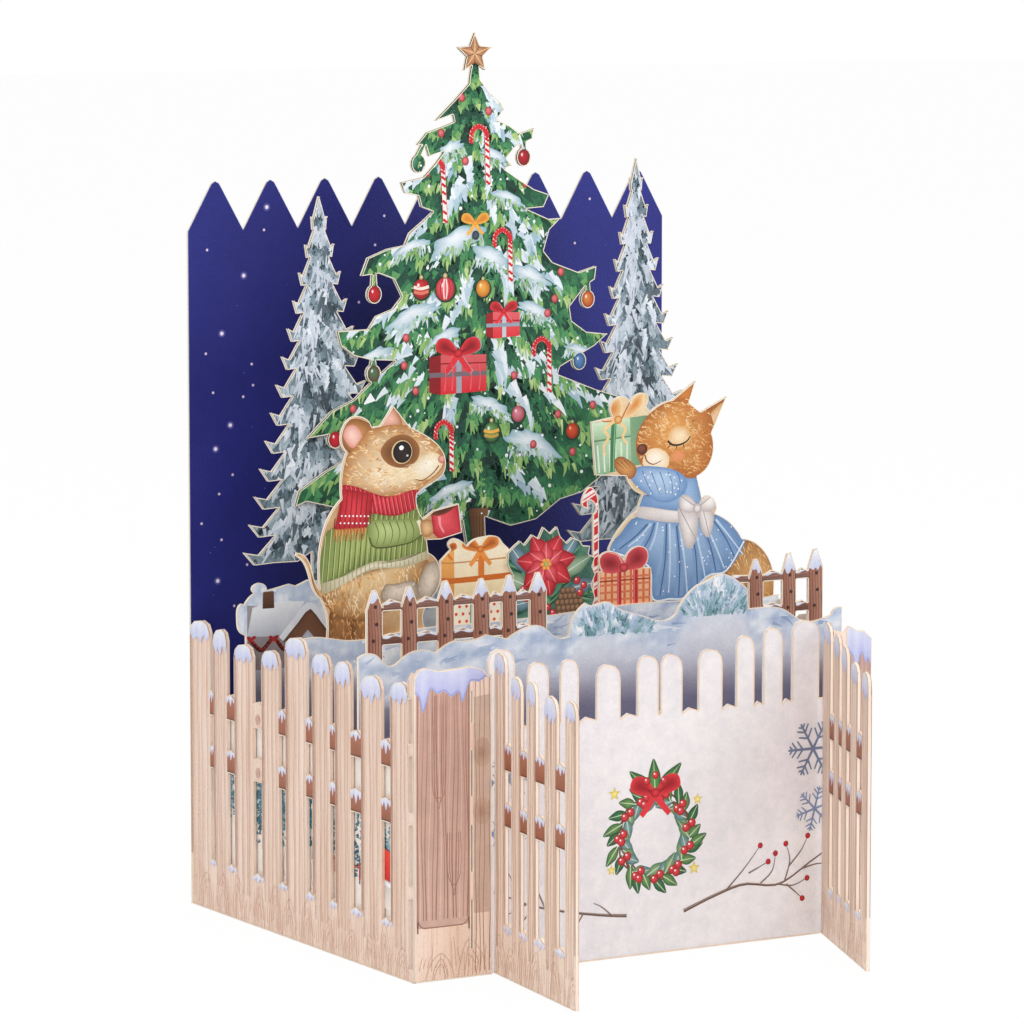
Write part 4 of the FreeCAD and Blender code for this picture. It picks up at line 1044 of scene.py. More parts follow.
def draw_house(page):
    """A small house under snow at the left of the rear layer: gable, doorway, chimney and a hung garland."""
    page.band([(0.9, 54.0), (11.0, 54.0)], [(0.9, 68.0), (11.0, 66.5)], "8d7e80", "a39a9d", 8)
    page.wash([(10.2, 54), (20.6, 54), (20.6, 61.5), (16.2, 66.3), (10.2, 62.0)], (15.4, 58.5), "8a5f45", "6f4632",
        smooth=False)
    page.wash([(13.2, 54), (17.6, 54), (17.6, 59.4), (15.4, 61.8), (13.2, 59.4)], (15.4, 56.5), "e9eaf0", "b9bccb",
        smooth=False)
    page.band([(0.9, 61.4), (6.0, 61.0), (11.2, 61.4)], [(2.2, 67.4), (8.0, 68.2), (14.6, 68.0)], "c3c7d3", "f3f4f8",
        12)
    page.line([(9.0, 60.2), (12.4, 63.8), (15.9, 67.0), (19.0, 63.8), (21.4, 60.6)], 1.5, "eff1f7", 1.3, 20)
    page.line([(9.6, 59.6), (12.9, 63.0), (15.9, 65.8), (18.8, 62.8), (20.8, 60.0)], 0.35, "5a3a2c", 0.35, 20)
    page.band([(4.6, 67.0), (7.4, 67.0)], [(4.7, 70.6), (7.3, 70.6)], "4f3327", "6d4a38", 4)
    page.line([(4.3, 70.8), (6.0, 71.4), (7.8, 70.9)], 0.9, "f5f6fb", 0.8, 10)
    garland = curve([(1.6, 60.6), (4.2, 58.2), (7.2, 60.4), (9.8, 58.0), (12.0, 60.2)], 40)
    page.dots(garland, 0.5, "6a3a30")
    page.dots(garland[::2] + (0.2, 0.15), 0.24, "b5373a")
    for at in ((1.8, 60.6), (7.2, 60.4)):
        bow(page, at, 0.9, "c8323a", "8e1f28")


def draw_garden_fences():
    for name, node, pickets, x0, x1, seed in (("left_garden_paint", "left_garden_fence",
            [(2.9, 6.6), (11, 14.8), (19.5, 23.5), (27.9, 32), (34.8, 38.4), (41.5, 45.6)], 0.9, 46.0, 71),
            ("right_garden_paint", "right_garden_fence", [(95.8, 99.5), (104.3, 107.9), (111, 114.8)], 91.8, 119.1,
            72)):
        page = Print(name, node, facing(PITCH), "fence_print")
        dice = np.random.default_rng(seed)
        for low, high, pale, dark in ((72.0, 73.9, "a5786b", "7a5246"), (65.0, 66.9, "8a5848", "5f3a2d")):
            page.band([(x0, low), (x1, low)], [(x0, high), (x1, high)], dark, pale, 4)
            ends = np.linspace(x0 + 0.3, x1 - 0.3, 24)
            for k in range(3):
                z = low + 0.4 + 0.5 * k + 0.12 * np.sin(ends * 0.9 + k)
                page.line(np.stack((ends, z), -1), 0.13, "5a3a30", 0.08, 60)
            gaps = np.linspace(x0, x1, 40)
            page.band(np.stack((gaps, high - 0.15 - 0.55 * np.abs(np.sin(gaps * 0.8 + seed)) ** 2), -1),
                np.stack((gaps, np.full(40, high + 0.0)), -1), LILAC, SNOW, 90)
        for a, b in pickets:
            top = 78.5
            page.band([(a, 58.0), (a, top)], [(b, 58.0), (b, top)], "945a44", "b68470", 6)
            for k in range(5):
                x = a + 0.5 + k * (b - a - 1.0) / 4
                page.line([(x, 58.5), (x + 0.2, 66), (x - 0.15, 72), (x + 0.1, 75.5)], 0.16, "5a3a30", 0.07, 10)
            page.line([(b - 0.15, 58), (b - 0.15, 76)], 0.3, "6e4536", 0.3, 4)
            knots = np.linspace(a, b, 7)
            low = 75.0 - dice.uniform(0.0, 1.7, 7)
            page.band(np.stack((knots, low), -1), np.stack((knots, np.full(7, 78.8)), -1), LILAC, SNOW, 20)
            page.dots([((a + b) / 2 + 0.2, 73.0), ((a + b) / 2 - 0.3, 66.0), ((a + b) / 2 + 0.5, 69.4)], 0.42,
                "43261d")
        page.finish()


def ribs(page, outline, count, colour, wide, lean=0.0, across=False):
    """Thin lines up (or across) an outline, each kept where it lies inside."""
    edge = curve(outline, 50, True)
    low, high = edge.min(axis=0), edge.max(axis=0)
    steps = 24
    run = np.linspace(0, 1, steps)
    marks = []
    for k in range(count):
        share = (k + 0.5) / count
        if across:
            y = low[1] + share * (high[1] - low[1])
            path = np.stack((low[0] + run * (high[0] - low[0]), y + lean * (run - 0.5)), -1)
        else:
            x = low[0] + share * (high[0] - low[0])
            path = np.stack((x + lean * (run - 0.5), low[1] + run * (high[1] - low[1])), -1)
        held = inside(edge, path)
        both = held[:-1] & held[1:]
        marks.append(np.stack((path[:-1], path[1:]), 1)[both])
    marks = np.vstack(marks)
    if len(marks):
        page.lines(marks, np.full(len(marks), wide), colour, np.full(len(marks), wide), 2)


def draw_mouse():
    page = Print("mouse_paint", "mouse", facing(2 * PITCH), "mouse_print")
    fur_row = ["9a6030", "c08448", "dda868", "efcb96", "f8e2bc"]
    tail = [(3.1, 77.7), (3.4, 74.6), (5.4, 71.6), (8.4, 70.0)]
    page.line(tail, 1.8, "a9703f", 1.0, 20)
    page.line(tail, 0.7, "d9a76a", 0.4, 20)
    for leg in ([(7.8, 69.5), (13.6, 68.5), (13.2, 62.0), (7.0, 62.0)], [(13.2, 68.5), (17.6, 68.0), (17.6, 61.5),
            (12.9, 61.5)]):
        page.wash(leg, None, "9a6a3e", "6d4523", smooth=False)
        fur(page, leg, 90, -90, fur_row[:4], 21, 1.6, 0.3, 0.2)
    belly = [(6.4, 72.9), (14.0, 76.2), (22.0, 77.6), (30.6, 78.5), (30.9, 76.6), (28.9, 73.5), (28.3, 70.3),
        (21.3, 68.0), (14.0, 66.9), (8.5, 68.7), (7.0, 70.8)]
    page.wash(belly, (19, 76), "edcb98", "9a6836")
    fur(page, belly, 420, -80, fur_row, 22, 2.2, 0.4, 0.3, (20, 77))
    jumper = [(17.3, 89.4), (23.6, 88.8), (28.0, 89.6), (30.0, 86.7), (30.2, 83.1), (31.6, 80.1), (25.0, 78.1),
        (18.8, 78.5), (13.3, 77.2), (5.2, 74.1), (5.1, 78.2), (6.2, 82.7), (8.0, 86.4), (16.2, 86.2)]
    page.wash(jumper, (15, 83), "a9b76a", "6d7c3c")
    ribs(page, jumper, 22, "56662e", 0.22, 1.5)
    ribs(page, jumper, 21, "bccb88", 0.2, 1.5)
    hem = [(5.5, 74.8), (9.6, 75.8), (14.0, 77.5), (18.8, 78.9), (25.0, 78.6), (31.5, 80.4), (31.6, 78.8),
        (25.7, 77.2), (18.8, 77.2), (14.0, 75.9), (10.0, 74.0), (6.4, 72.8)]
    page.wash(hem, (18, 78), "efe8cd", "b5ab86")
    ribs(page, hem, 26, "9c936c", 0.16)
    sleeve = [(17.5, 87.3), (23.5, 87.4), (29.5, 86.9), (30.4, 84.1), (26.5, 82.2), (18.8, 81.6), (16.9, 84.2)]
    page.wash(sleeve, (21, 85.6), "bccb84", "7d8c48")
    for k in range(7):
        x = 18.6 + 1.7 * k
        page.line([(x, 87.0), (x + 0.8, 84.6), (x + 0.2, 82.3)], 0.28, "63733a", 0.12, 12)
    page.line([(17.2, 83.9), (18.9, 81.7), (26.5, 82.2), (30.2, 83.9)], 0.35, "4b5828", 0.2, 20)
    page.line([(28.9, 86.9), (29.6, 85.3), (29.9, 83.9)], 0.9, "e9e2c2", 0.9, 8)
    paw = [(29.6, 86.5), (32.0, 86.8), (32.9, 84.6), (31.3, 83.3), (29.8, 83.8)]
    page.wash(paw, None, "e9bd88", "a9703f")
    cup = [(32.0, 88.1), (38.5, 89.7), (40.0, 83.5), (36.4, 82.3), (34.2, 82.4), (32.6, 83.9)]
    page.wash(cup, (34.5, 87.0), "ee5560", "b01827", smooth=False)
    page.line([(34.0, 87.4), (34.3, 85.4), (35.2, 83.9)], 0.7, "f5969a", 0.3, 10)
    page.wash([(32.0, 88.2), (34.6, 89.8), (38.6, 89.9), (36.0, 88.1), (33.4, 87.6)], None, "4a2216", "7a3a22")
    page.line([(32.0, 88.2), (34.6, 89.8), (38.6, 89.9)], 0.3, "f4b8ae", 0.3, 12)
    for foot in ([(28.5, 71.9), (30.8, 77.4), (34.3, 77.5), (34.3, 73.8), (31.0, 69.6)],
            [(20.4, 70.3), (20.8, 73.6), (23.5, 73.8), (28.0, 74.1), (28.4, 70.1)]):
        page.wash(foot, None, "e9d9c6", "9a8672")
        fur(page, foot, 50, 70, ["8f7a68", "c9b8a6", "f1e8dc"], 23, 1.1, 0.2, 0.3)
    ear = [(12.5, 101.9), (10.2, 105.1), (10.8, 107.9), (13.4, 109.0), (16.0, 108.5), (18.0, 106.9), (17.0, 103.4),
        (14.2, 102.0)]
    page.wash(ear, None, "c98d52", "8a5427")
    page.wash([(12.7, 103.2), (11.1, 105.4), (11.7, 107.3), (13.4, 107.8), (14.9, 106.8), (15.6, 105.0),
        (14.6, 103.0)], (13.2, 105.8), "f8ccbe", "d98f7c")
    page.wash([(19.2, 106.4), (20.3, 109.3), (22.6, 111.1), (24.2, 109.7), (24.8, 106.9)], None, "f0b8a4", "a9683e")
    head = [(11.0, 95.0), (10.5, 97.8), (11.7, 100.9), (14.1, 103.4), (16.7, 106.3), (18.9, 106.9), (22.0, 107.3),
        (25.1, 107.2), (28.7, 106.2), (32.1, 104.1), (34.4, 101.6), (35.6, 100.0), (35.2, 98.1), (33.4, 96.3),
        (30.9, 94.6), (28.3, 93.2), (22.1, 92.3), (17.7, 92.5), (14.1, 93.9)]
    page.wash(head, (25.0, 97.6), "fae6c0", "b4763a")
    fur(page, head, 620, 165, fur_row, 24, 1.9, 0.34, 0.4, (25.0, 98.0))
    muzzle = [(27.9, 98.9), (30.0, 100.4), (32.6, 101.1), (34.7, 99.8), (34.5, 97.8), (31.9, 95.7), (28.7, 95.4),
        (26.9, 96.9)]
    page.wash(muzzle, (31.5, 98.6), "fdf3df", "eccf9f")
    fur(page, muzzle, 60, 200, ["d9b98c", "f6e6c8", "ffffff"], 25, 1.1, 0.18, 0.4)
    cheek = [(15.5, 96.6), (19.5, 98.6), (24.5, 97.8), (26.8, 95.6), (22.6, 93.8), (17.8, 94.2)]
    fur(page, cheek, 120, 190, ["e9bd88", "f8e2bd", "fdf3df"], 26, 2.0, 0.3, 0.35)
    patch = [(19.9, 101.6), (21.4, 104.0), (24.4, 105.2), (27.2, 104.6), (29.2, 102.3), (28.6, 99.6), (25.6, 98.2),
        (21.9, 99.0)]
    page.wash(patch, (25, 101.6), "4a2a16", "9c6434")
    page.oval((25.0, 101.5), 2.5, 2.5, "f2ddb2", "e2c18e")
    page.oval((25.1, 101.5), 2.25, 2.3, "2a1a12", "050405", 0, (0.4, -0.8))
    page.oval((24.9, 102.4), 0.55, 0.5, SNOW, SNOW)
    page.oval((26.3, 100.7), 0.26, 0.24, "c9cdd6", "c9cdd6")
    page.oval((34.7, 99.5), 1.0, 0.9, "f0b0a0", "b5685c", 0, (-0.2, 0.3))
    page.line([(33.9, 98.2), (32.4, 96.6), (30.0, 95.3), (28.2, 95.6)], 0.3, "7a4526", 0.15, 16)
    for k in range(4):
        page.line([(31.6, 98.4 - 0.3 * k), (29.0, 98.9 - 0.7 * k), (25.8 - 0.3 * k, 98.6 - 1.1 * k)], 0.12, "fbeed8",
            0.05, 12)
    scarf = [(10.6, 95.1), (14.1, 94.8), (17.7, 93.4), (22.1, 92.3), (28.5, 93.5), (29.0, 91.6), (28.3, 89.5),
        (23.6, 88.2), (18.4, 88.9), (14.1, 90.2), (10.1, 91.1)]
    page.wash(scarf, (19, 91.4), "e8404a", "a5141f")
    ribs(page, scarf, 20, "8e101c", 0.22, -1.4)
    ribs(page, scarf, 19, "f2767c", 0.14, -1.4)
    end = [(10.9, 94.6), (17.6, 93.2), (17.8, 90.3), (16.3, 85.4), (8.9, 86.1), (10.0, 90.8)]
    page.wash(end, (14, 90), "e23a44", "a5141f", smooth=False)
    ribs(page, end, 8, "8e101c", 0.25, 1.0)
    page.dots([(10.6 + 0.9 * k, 88.9 - 0.06 * k) for k in range(8)], 0.2, SNOW)
    page.dots([(10.3 + 0.95 * k, 87.4 - 0.06 * k) for k in range(8)], 0.2, SNOW)
    for k in range(10):
        x = 9.1 + 0.77 * k
        page.line([(x, 86.2), (x - 0.2, 84.9), (x - 0.5, 83.6 - 0.1 * (k % 3))], 0.42, "c47a3a", 0.2, 6)
        page.line([(x + 0.3, 86.0), (x + 0.1, 84.8)], 0.2, "f0b06c", 0.1, 4)
    page.finish()


def draw_squirrel():
    page = Print("squirrel_paint", "squirrel", facing(2 * PITCH + CARD), "squirrel_print")
    fur_row = ["9c5824", "c07636", "da984f", "eab472", "f4d09a"]
    tail = [(105.9, 71.1), (111.1, 77.4), (116.2, 76.3), (119.4, 70.7), (119.5, 63.3), (115.1, 61.9), (111.4, 67.5)]
    page.wash(tail, (115, 70), "d9a566", "9a6434")
    fur(page, tail, 220, -60, fur_row, 31, 2.2, 0.3, 0.35, (113, 74))
    foot = [(88.0, 66.4), (92.4, 66.0), (92.9, 63.7), (93.6, 62.0), (86.6, 61.7), (87.4, 63.7)]
    page.wash(foot, None, "b06f3a", "6e3f1d")
    skirt = [(83.8, 84.5), (94.4, 82.8), (102.9, 83.6), (107.4, 82.2), (111.4, 77.4), (106.6, 70.9), (101.7, 70.1),
        (96.1, 65.8), (87.6, 66.0), (86.6, 72.8), (76.0, 77.4), (79.1, 80.7)]
    page.wash(skirt, (92, 80), "a5c2e2", "6288b8")
    for top, foot_at in (((88.0, 82.8), (84.5, 76.5)), ((91.0, 82.4), (89.4, 66.8)), ((93.6, 81.8), (94.2, 66.4)),
            ((97.0, 82.4), (99.0, 68.6)), ((99.8, 82.5), (103.8, 71.2)), ((102.9, 82.6), (108.6, 74.0)),
            ((86.2, 82.6), (79.0, 77.6))):
        middle = ((top[0] + foot_at[0]) / 2 + 0.5, (top[1] + foot_at[1]) / 2)
        page.line([top, middle, foot_at], 0.8, "7f9fca", 2.4, 16)
        page.line([top, middle, foot_at], 0.35, "41658f", 0.3, 16)
        page.line([(top[0] + 0.8, top[1]), (middle[0] + 1.3, middle[1]), (foot_at[0] + 2.2, foot_at[1] + 0.4)], 0.5,
            "c3d8ee", 0.3, 16)
    dice = np.random.default_rng(33)
    dots = dice.uniform((77, 66.5), (110, 83.5), (70, 2))
    page.dots(dots[inside(curve(skirt, 50, True), dots)], 0.17, SNOW)
    page.line([(76.2, 77.4), (82.0, 75.4), (86.8, 72.9), (87.5, 66.3), (91.8, 65.9), (96.1, 66.1), (101.7, 70.3),
        (106.5, 71.2), (111.1, 77.4)], 0.4, "e9f0f8", 0.4, 40)
    bodice = [(95.2, 92.9), (99.0, 92.1), (100.4, 85.5), (94.4, 84.3), (84.0, 86.1), (84.8, 88.9), (92.6, 87.4)]
    page.wash(bodice, (96, 89), "9dbbde", "5f86b8")
    sash = [(84.2, 86.5), (94.4, 85.0), (100.2, 86.0), (100.4, 84.0), (94.4, 82.4), (83.4, 84.3)]
    page.wash(sash, None, "f3ebe6", "c9bdbb")
    for tail_of in ([(94.1, 85.9), (98.8, 84.4), (98.6, 78.4), (96.4, 76.6), (94.6, 80.6)],
            [(99.9, 86.6), (103.1, 83.7), (102.1, 78.9), (100.2, 80.0), (99.4, 83.4)]):
        page.wash(tail_of, None, "f6efea", "c4b6b4")
        page.line([tail_of[0], tail_of[2]], 0.25, "a5989a", 0.12, 6)
    for loop in ([(98.9, 85.4), (97.0, 88.0), (94.6, 88.2), (94.4, 85.8), (96.4, 84.4)],
            [(98.9, 85.4), (101.2, 88.6), (104.4, 88.9), (104.8, 86.0), (101.8, 84.4)]):
        page.wash(loop, None, "faf4f0", "c4b6b4")
        page.line([loop[0], loop[2]], 0.25, "a5989a", 0.12, 6)
    page.oval((98.9, 85.3), 1.1, 1.1, "f6efea", "a99b9b")
    box = [(72.0, 105.2), (86.0, 106.2), (85.6, 100.8), (83.1, 95.5), (73.1, 93.5)]
    page.wash(box, (77, 101), "bcd8b4", "86ab84", smooth=False)
    for k in range(6):
        page.line([(73.4 + 1.5 * k, 100.3 + 0.1 * k), (73.9 + 1.4 * k, 94.4 + 0.1 * k)], 0.4, "dcebd2", 0.4, 6)
    page.band([(72.0, 101.2), (78.0, 101.6), (85.6, 102.2)], [(72.0, 105.2), (79.0, 105.7), (86.0, 106.2)], "9cc096",
        "cfe3c4", 12)
    page.line([(72.3, 101.2), (78.0, 101.6), (85.6, 102.2)], 0.35, "5f8a62", 0.3, 10)
    page.band([(82.0, 95.4), (81.6, 105.9)], [(84.5, 95.6), (86.0, 106.2)], "83a880", "6d936e", 8)
    page.line([(77.6, 105.6), (77.3, 100.0), (77.2, 94.4)], 1.3, "3f7a4e", 1.2, 10)
    page.line([(77.9, 105.6), (77.6, 100.0), (77.5, 94.4)], 0.3, "7fb585", 0.3, 10)
    for loop, middle in (([(77.6, 105.4), (74.6, 105.6), (75.4, 108.4), (77.2, 110.4), (79.4, 110.0), (79.6, 106.8)],
            (77.4, 108.0)), ([(79.6, 105.9), (81.6, 109.2), (83.6, 111.2), (85.2, 111.0), (84.8, 108.6),
            (82.4, 106.4)], (83.0, 108.8))):
        page.wash(loop, middle, "d98a3c", "f8d8a4")
        page.line(loop[:4], 0.3, "c06a22", 0.2, 14)
    page.line([(77.8, 105.4), (75.2, 103.6), (76.2, 102.0), (75.0, 100.0), (75.4, 98.0)], 0.8, "f6cf92", 0.5, 20)
    page.line([(78.6, 105.4), (80.4, 103.6), (79.8, 101.8), (81.0, 100.2)], 0.8, "f6cf92", 0.5, 20)
    page.oval((78.6, 105.6), 1.0, 0.9, "f6c27a", "c06a22")
    for ear in ([(92.3, 108.6), (95.0, 111.8), (98.6, 113.2), (97.6, 110.2), (96.6, 108.2)],
            [(98.8, 103.1), (101.1, 106.8), (106.8, 109.5), (105.2, 104.4), (102.9, 100.6), (100.5, 100.3)]):
        page.wash(ear, None, "cf7f38", "8a4a1c")
    page.wash([(100.6, 102.9), (102.4, 106.0), (105.9, 108.2), (104.1, 104.3), (101.7, 101.5)], None, "f0c59a",
        "d09a62")
    head = [(83.1, 100.7), (84.0, 103.4), (85.8, 105.8), (89.2, 108.1), (92.5, 109.2), (96.4, 109.2), (101.3, 106.8),
        (103.0, 103.3), (103.2, 99.3), (102.2, 94.8), (98.6, 92.1), (95.2, 92.3), (89.2, 94.1), (85.6, 94.6),
        (83.5, 97.4)]
    page.wash(head, (92, 104.5), "e09a50", "b0642a")
    fur(page, head, 640, -20, fur_row, 34, 1.9, 0.34, 0.4, (90.0, 104.0))
    page.wash([(84.8, 96.4), (86.2, 98.6), (89.0, 98.9), (91.4, 97.2), (91.2, 94.7), (88.6, 94.1), (85.6, 94.8)],
        (88.2, 96.9), "fff4e2", "f0cf9f")
    page.wash([(91.0, 100.1), (91.6, 102.4), (93.6, 103.6), (96.2, 102.9), (97.3, 100.7), (95.4, 99.1), (92.6, 98.9)],
        (94.4, 101.4), "fbe3bd", "e0a862")
    page.line([(91.2, 100.4), (92.4, 99.5), (94.3, 99.4), (96.1, 100.1), (97.0, 101.1)], 0.55, "3a1c0e", 0.25, 20)
    for at, to in (((92.0, 99.7), (91.2, 98.8)), ((93.6, 99.3), (93.2, 98.3)), ((95.2, 99.6), (95.4, 98.6))):
        page.line([at, to], 0.25, "3a1c0e", 0.1, 4)
    page.oval((84.7, 98.9), 1.35, 1.2, "8a4a34", "3a1810", 0, (-0.3, 0.4))
    page.line([(85.4, 97.6), (86.0, 96.2), (87.6, 95.5), (89.6, 96.2)], 0.35, "7a3f1d", 0.15, 16)
    page.oval((93.8, 96.9), 1.9, 1.3, "ef9a68", "dc8f50")
    sleeve = [(81.6, 93.4), (83.7, 95.1), (88.0, 95.0), (92.6, 94.1), (95.9, 92.1), (95.9, 89.4), (92.8, 87.3),
        (89.0, 87.3), (85.7, 89.2), (83.1, 91.2)]
    page.wash(sleeve, (89, 92.4), "b9d2ec", "6b91c2")
    for k in range(5):
        page.line([(84.8 + 2.2 * k, 94.2 - 0.2 * k), (86.0 + 2.1 * k, 91.4), (87.6 + 1.6 * k, 88.9)], 0.25, "4d76a8",
            0.12, 12)
    spots = dice.uniform((83, 88), (95, 94.5), (22, 2))
    page.dots(spots[inside(curve(sleeve, 50, True), spots)], 0.2, SNOW)
    hand = [(77.8, 97.0), (79.9, 97.5), (83.1, 95.2), (82.6, 93.0), (80.6, 92.9), (78.0, 94.9)]
    page.wash(hand, None, "e0a05c", "9a5a28")
    for k in range(3):
        page.line([(78.3 + 0.9 * k, 96.4 + 0.2 * k), (80.2 + 0.8 * k, 94.8 + 0.1 * k)], 0.18, "6e3f1d", 0.1, 4)
    page.finish()


def draw_parcels():
    page = Print("parcels_paint", "stacked_parcels", facing(2 * PITCH + CARD), "parcel_print")
    page.band([(29.5, 58.0), (36.8, 58.0)], [(29.5, 80.6), (36.8, 78.2)], "8e0f1a", "c92430", 6)
    for k in range(4):
        page.line([(30.4 + 1.9 * k, 58), (30.4 + 1.9 * k, 80.4)], 0.7, "f4dcd2", 0.7, 4)
    page.band([(33.0, 54.0), (52.0, 54.0)], [(33.0, 69.8), (52.0, 69.6)], "f3e3c8", "fbf2de", 6)
    x, z = np.meshgrid(np.arange(34.2, 52, 1.7), np.arange(55.0, 69.4, 1.6))
    spots = np.stack((x + 0.85 * (np.arange(x.shape[0])[:, None] % 2), z), -1).reshape(-1, 2)
    page.dots(spots, 0.36, "dc4a30")
    page.line([(42.6, 54), (42.6, 69.6)], 1.5, "6f9c8a", 1.5, 4)
    page.band([(34.2, 69.7), (38.0, 69.2)], [(34.2, 80.4), (38.0, 80.0)], "d98a3c", "f0b060", 4)
    page.band([(38.0, 69.2), (52.7, 69.9)], [(38.0, 80.0), (52.7, 80.2)], "f3d9a8", "fbecd0", 8)
    page.line([(34.2, 77.6), (38.0, 77.2), (52.7, 77.6)], 0.3, "c58a4a", 0.3, 10)
    page.line([(44.6, 69.6), (44.6, 80.1)], 1.5, "e07b28", 1.5, 4)
    page.line([(34.2, 73.8), (38.0, 73.4), (52.7, 73.8)], 1.2, "cf6a1e", 1.2, 10)
    bow(page, (44.4, 79.6), 3.4, "ef9440", "b5591a")
    bow(page, (36.0, 79.8), 2.0, "e07b28", "a04a14")
    page.finish()


def draw_checked_parcel():
    page = Print("checked_parcel_paint", "checked_parcel", facing(2 * PITCH), "checked_print")
    page.band([(72.5, 54.0), (87.5, 54.0)], [(72.5, 73.4), (87.5, 73.4)], "e39668", "f6c096", 8)
    for k in range(9):
        x = 73.6 + 1.6 * k
        page.line([(x, 54), (x, 73)], 0.55, "d9683f", 0.55, 4)
    for k in range(11):
        z = 55.6 + 1.6 * k
        page.line([(72.6, z), (87.4, z)], 0.45, "dd7a50", 0.45, 4)
    page.line([(72.6, 70.9), (87.4, 70.9)], 0.4, "a83a22", 0.3, 6)
    for x in (78.6, 82.7):
        page.line([(x, 73.0), (x + 0.1, 60.0)], 1.1, "c22a34", 1.1, 6)
        page.line([(x - 0.3, 73.0), (x - 0.2, 60.0)], 0.25, "ef7a7c", 0.25, 6)
    for loop, middle in (([(79.8, 73.6), (78.4, 76.2), (76.0, 77.1), (73.1, 76.4), (73.5, 73.6), (77.1, 72.5)],
            (76.4, 74.8)), ([(79.8, 73.6), (80.9, 76.9), (83.4, 78.3), (85.9, 76.1), (84.9, 73.6), (81.3, 73.0)],
            (83.2, 75.4))):
        page.wash(loop, middle, "8e1a24", "e2525a")
        page.line(loop[:3], 0.35, "f6a09c", 0.15, 12)
    page.oval((79.8, 73.6), 1.1, 1.0, "e2525a", "9c1a26")
    page.finish()


def draw_cane():
    page = Print("candy_cane_paint", "candy_cane", facing(2 * PITCH + CARD), "cane_print")
    start = page.sheet.edges[0]
    left, right = start[:, 0].min(), start[:, 0].max()
    marks = [[(left - 2, z), (right + 2, z + 4.2)] for z in np.arange(52, 95, 3.4)]
    page.lines(np.array(marks), np.full(len(marks), 1.7), "d3202c", np.full(len(marks), 1.7), 8)
    page.lines(np.array(marks) + (0, 1.5), np.full(len(marks), 0.35), "e8626a", np.full(len(marks), 0.35), 8)
    page.finish(0.22)


def leaf(page, root, tip, wide, inner, outer, vein):
    """A pointed leaf from its root to its tip with a mid vein."""
    root, tip = np.asarray(root, float), np.asarray(tip, float)
    run = tip - root
    normal = np.array((-run[1], run[0])) / np.linalg.norm(run)
    share = np.array((0.0, 0.2, 0.5, 0.8, 1.0))
    half = np.array((0.1, 0.7, 1.0, 0.55, 0.0)) * wide
    upper = root + share[:, None] * run + half[:, None] * normal
    lower = (root + share[:, None] * run - half[:, None] * normal)[1:-1][::-1]
    page.wash(np.vstack((upper, lower)), root + 0.4 * run, inner, outer, count=26, rings=3)
    page.line([root, root + 0.55 * run, tip], 0.12 * wide + 0.1, vein, 0.06, 8)


def berries(page, places, radius):
    for x, z in places:
        page.oval((x, z), radius, radius, "ee4a4f", "8e0f1a", 0, (-0.3 * radius, 0.35 * radius))
        page.oval((x - 0.3 * radius, z + 0.35 * radius), 0.22 * radius, 0.2 * radius, SNOW, SNOW)


def sprig(page, root, angle, length, needles, seed, wide=0.24):
    """A needled twig: a stem with pairs of needles that lean towards its tip."""
    dice = np.random.default_rng(seed)
    share = np.repeat(np.linspace(0.05, 1, 22), 2)
    way = np.tile((-1.0, 1.0), 22)
    turn = math.radians(angle)
    bendy = turn + 0.4 * share
    start = np.asarray(root) + np.stack((np.cos(turn + 0.2 * share), np.sin(turn + 0.2 * share)),
        -1) * (share * length)[:, None]
    page.line([root, start[20], start[-1]], 0.32, "5b3b2a", 0.15, 12)
    tufts(page, start, bendy + way * (0.85 - 0.5 * share) + dice.normal(0, 0.08, 44), (0.42 - 0.18 * share) * length,
        np.full(44, wide), palette(needles, dice.uniform(0, 1, 44)), way * -0.2)


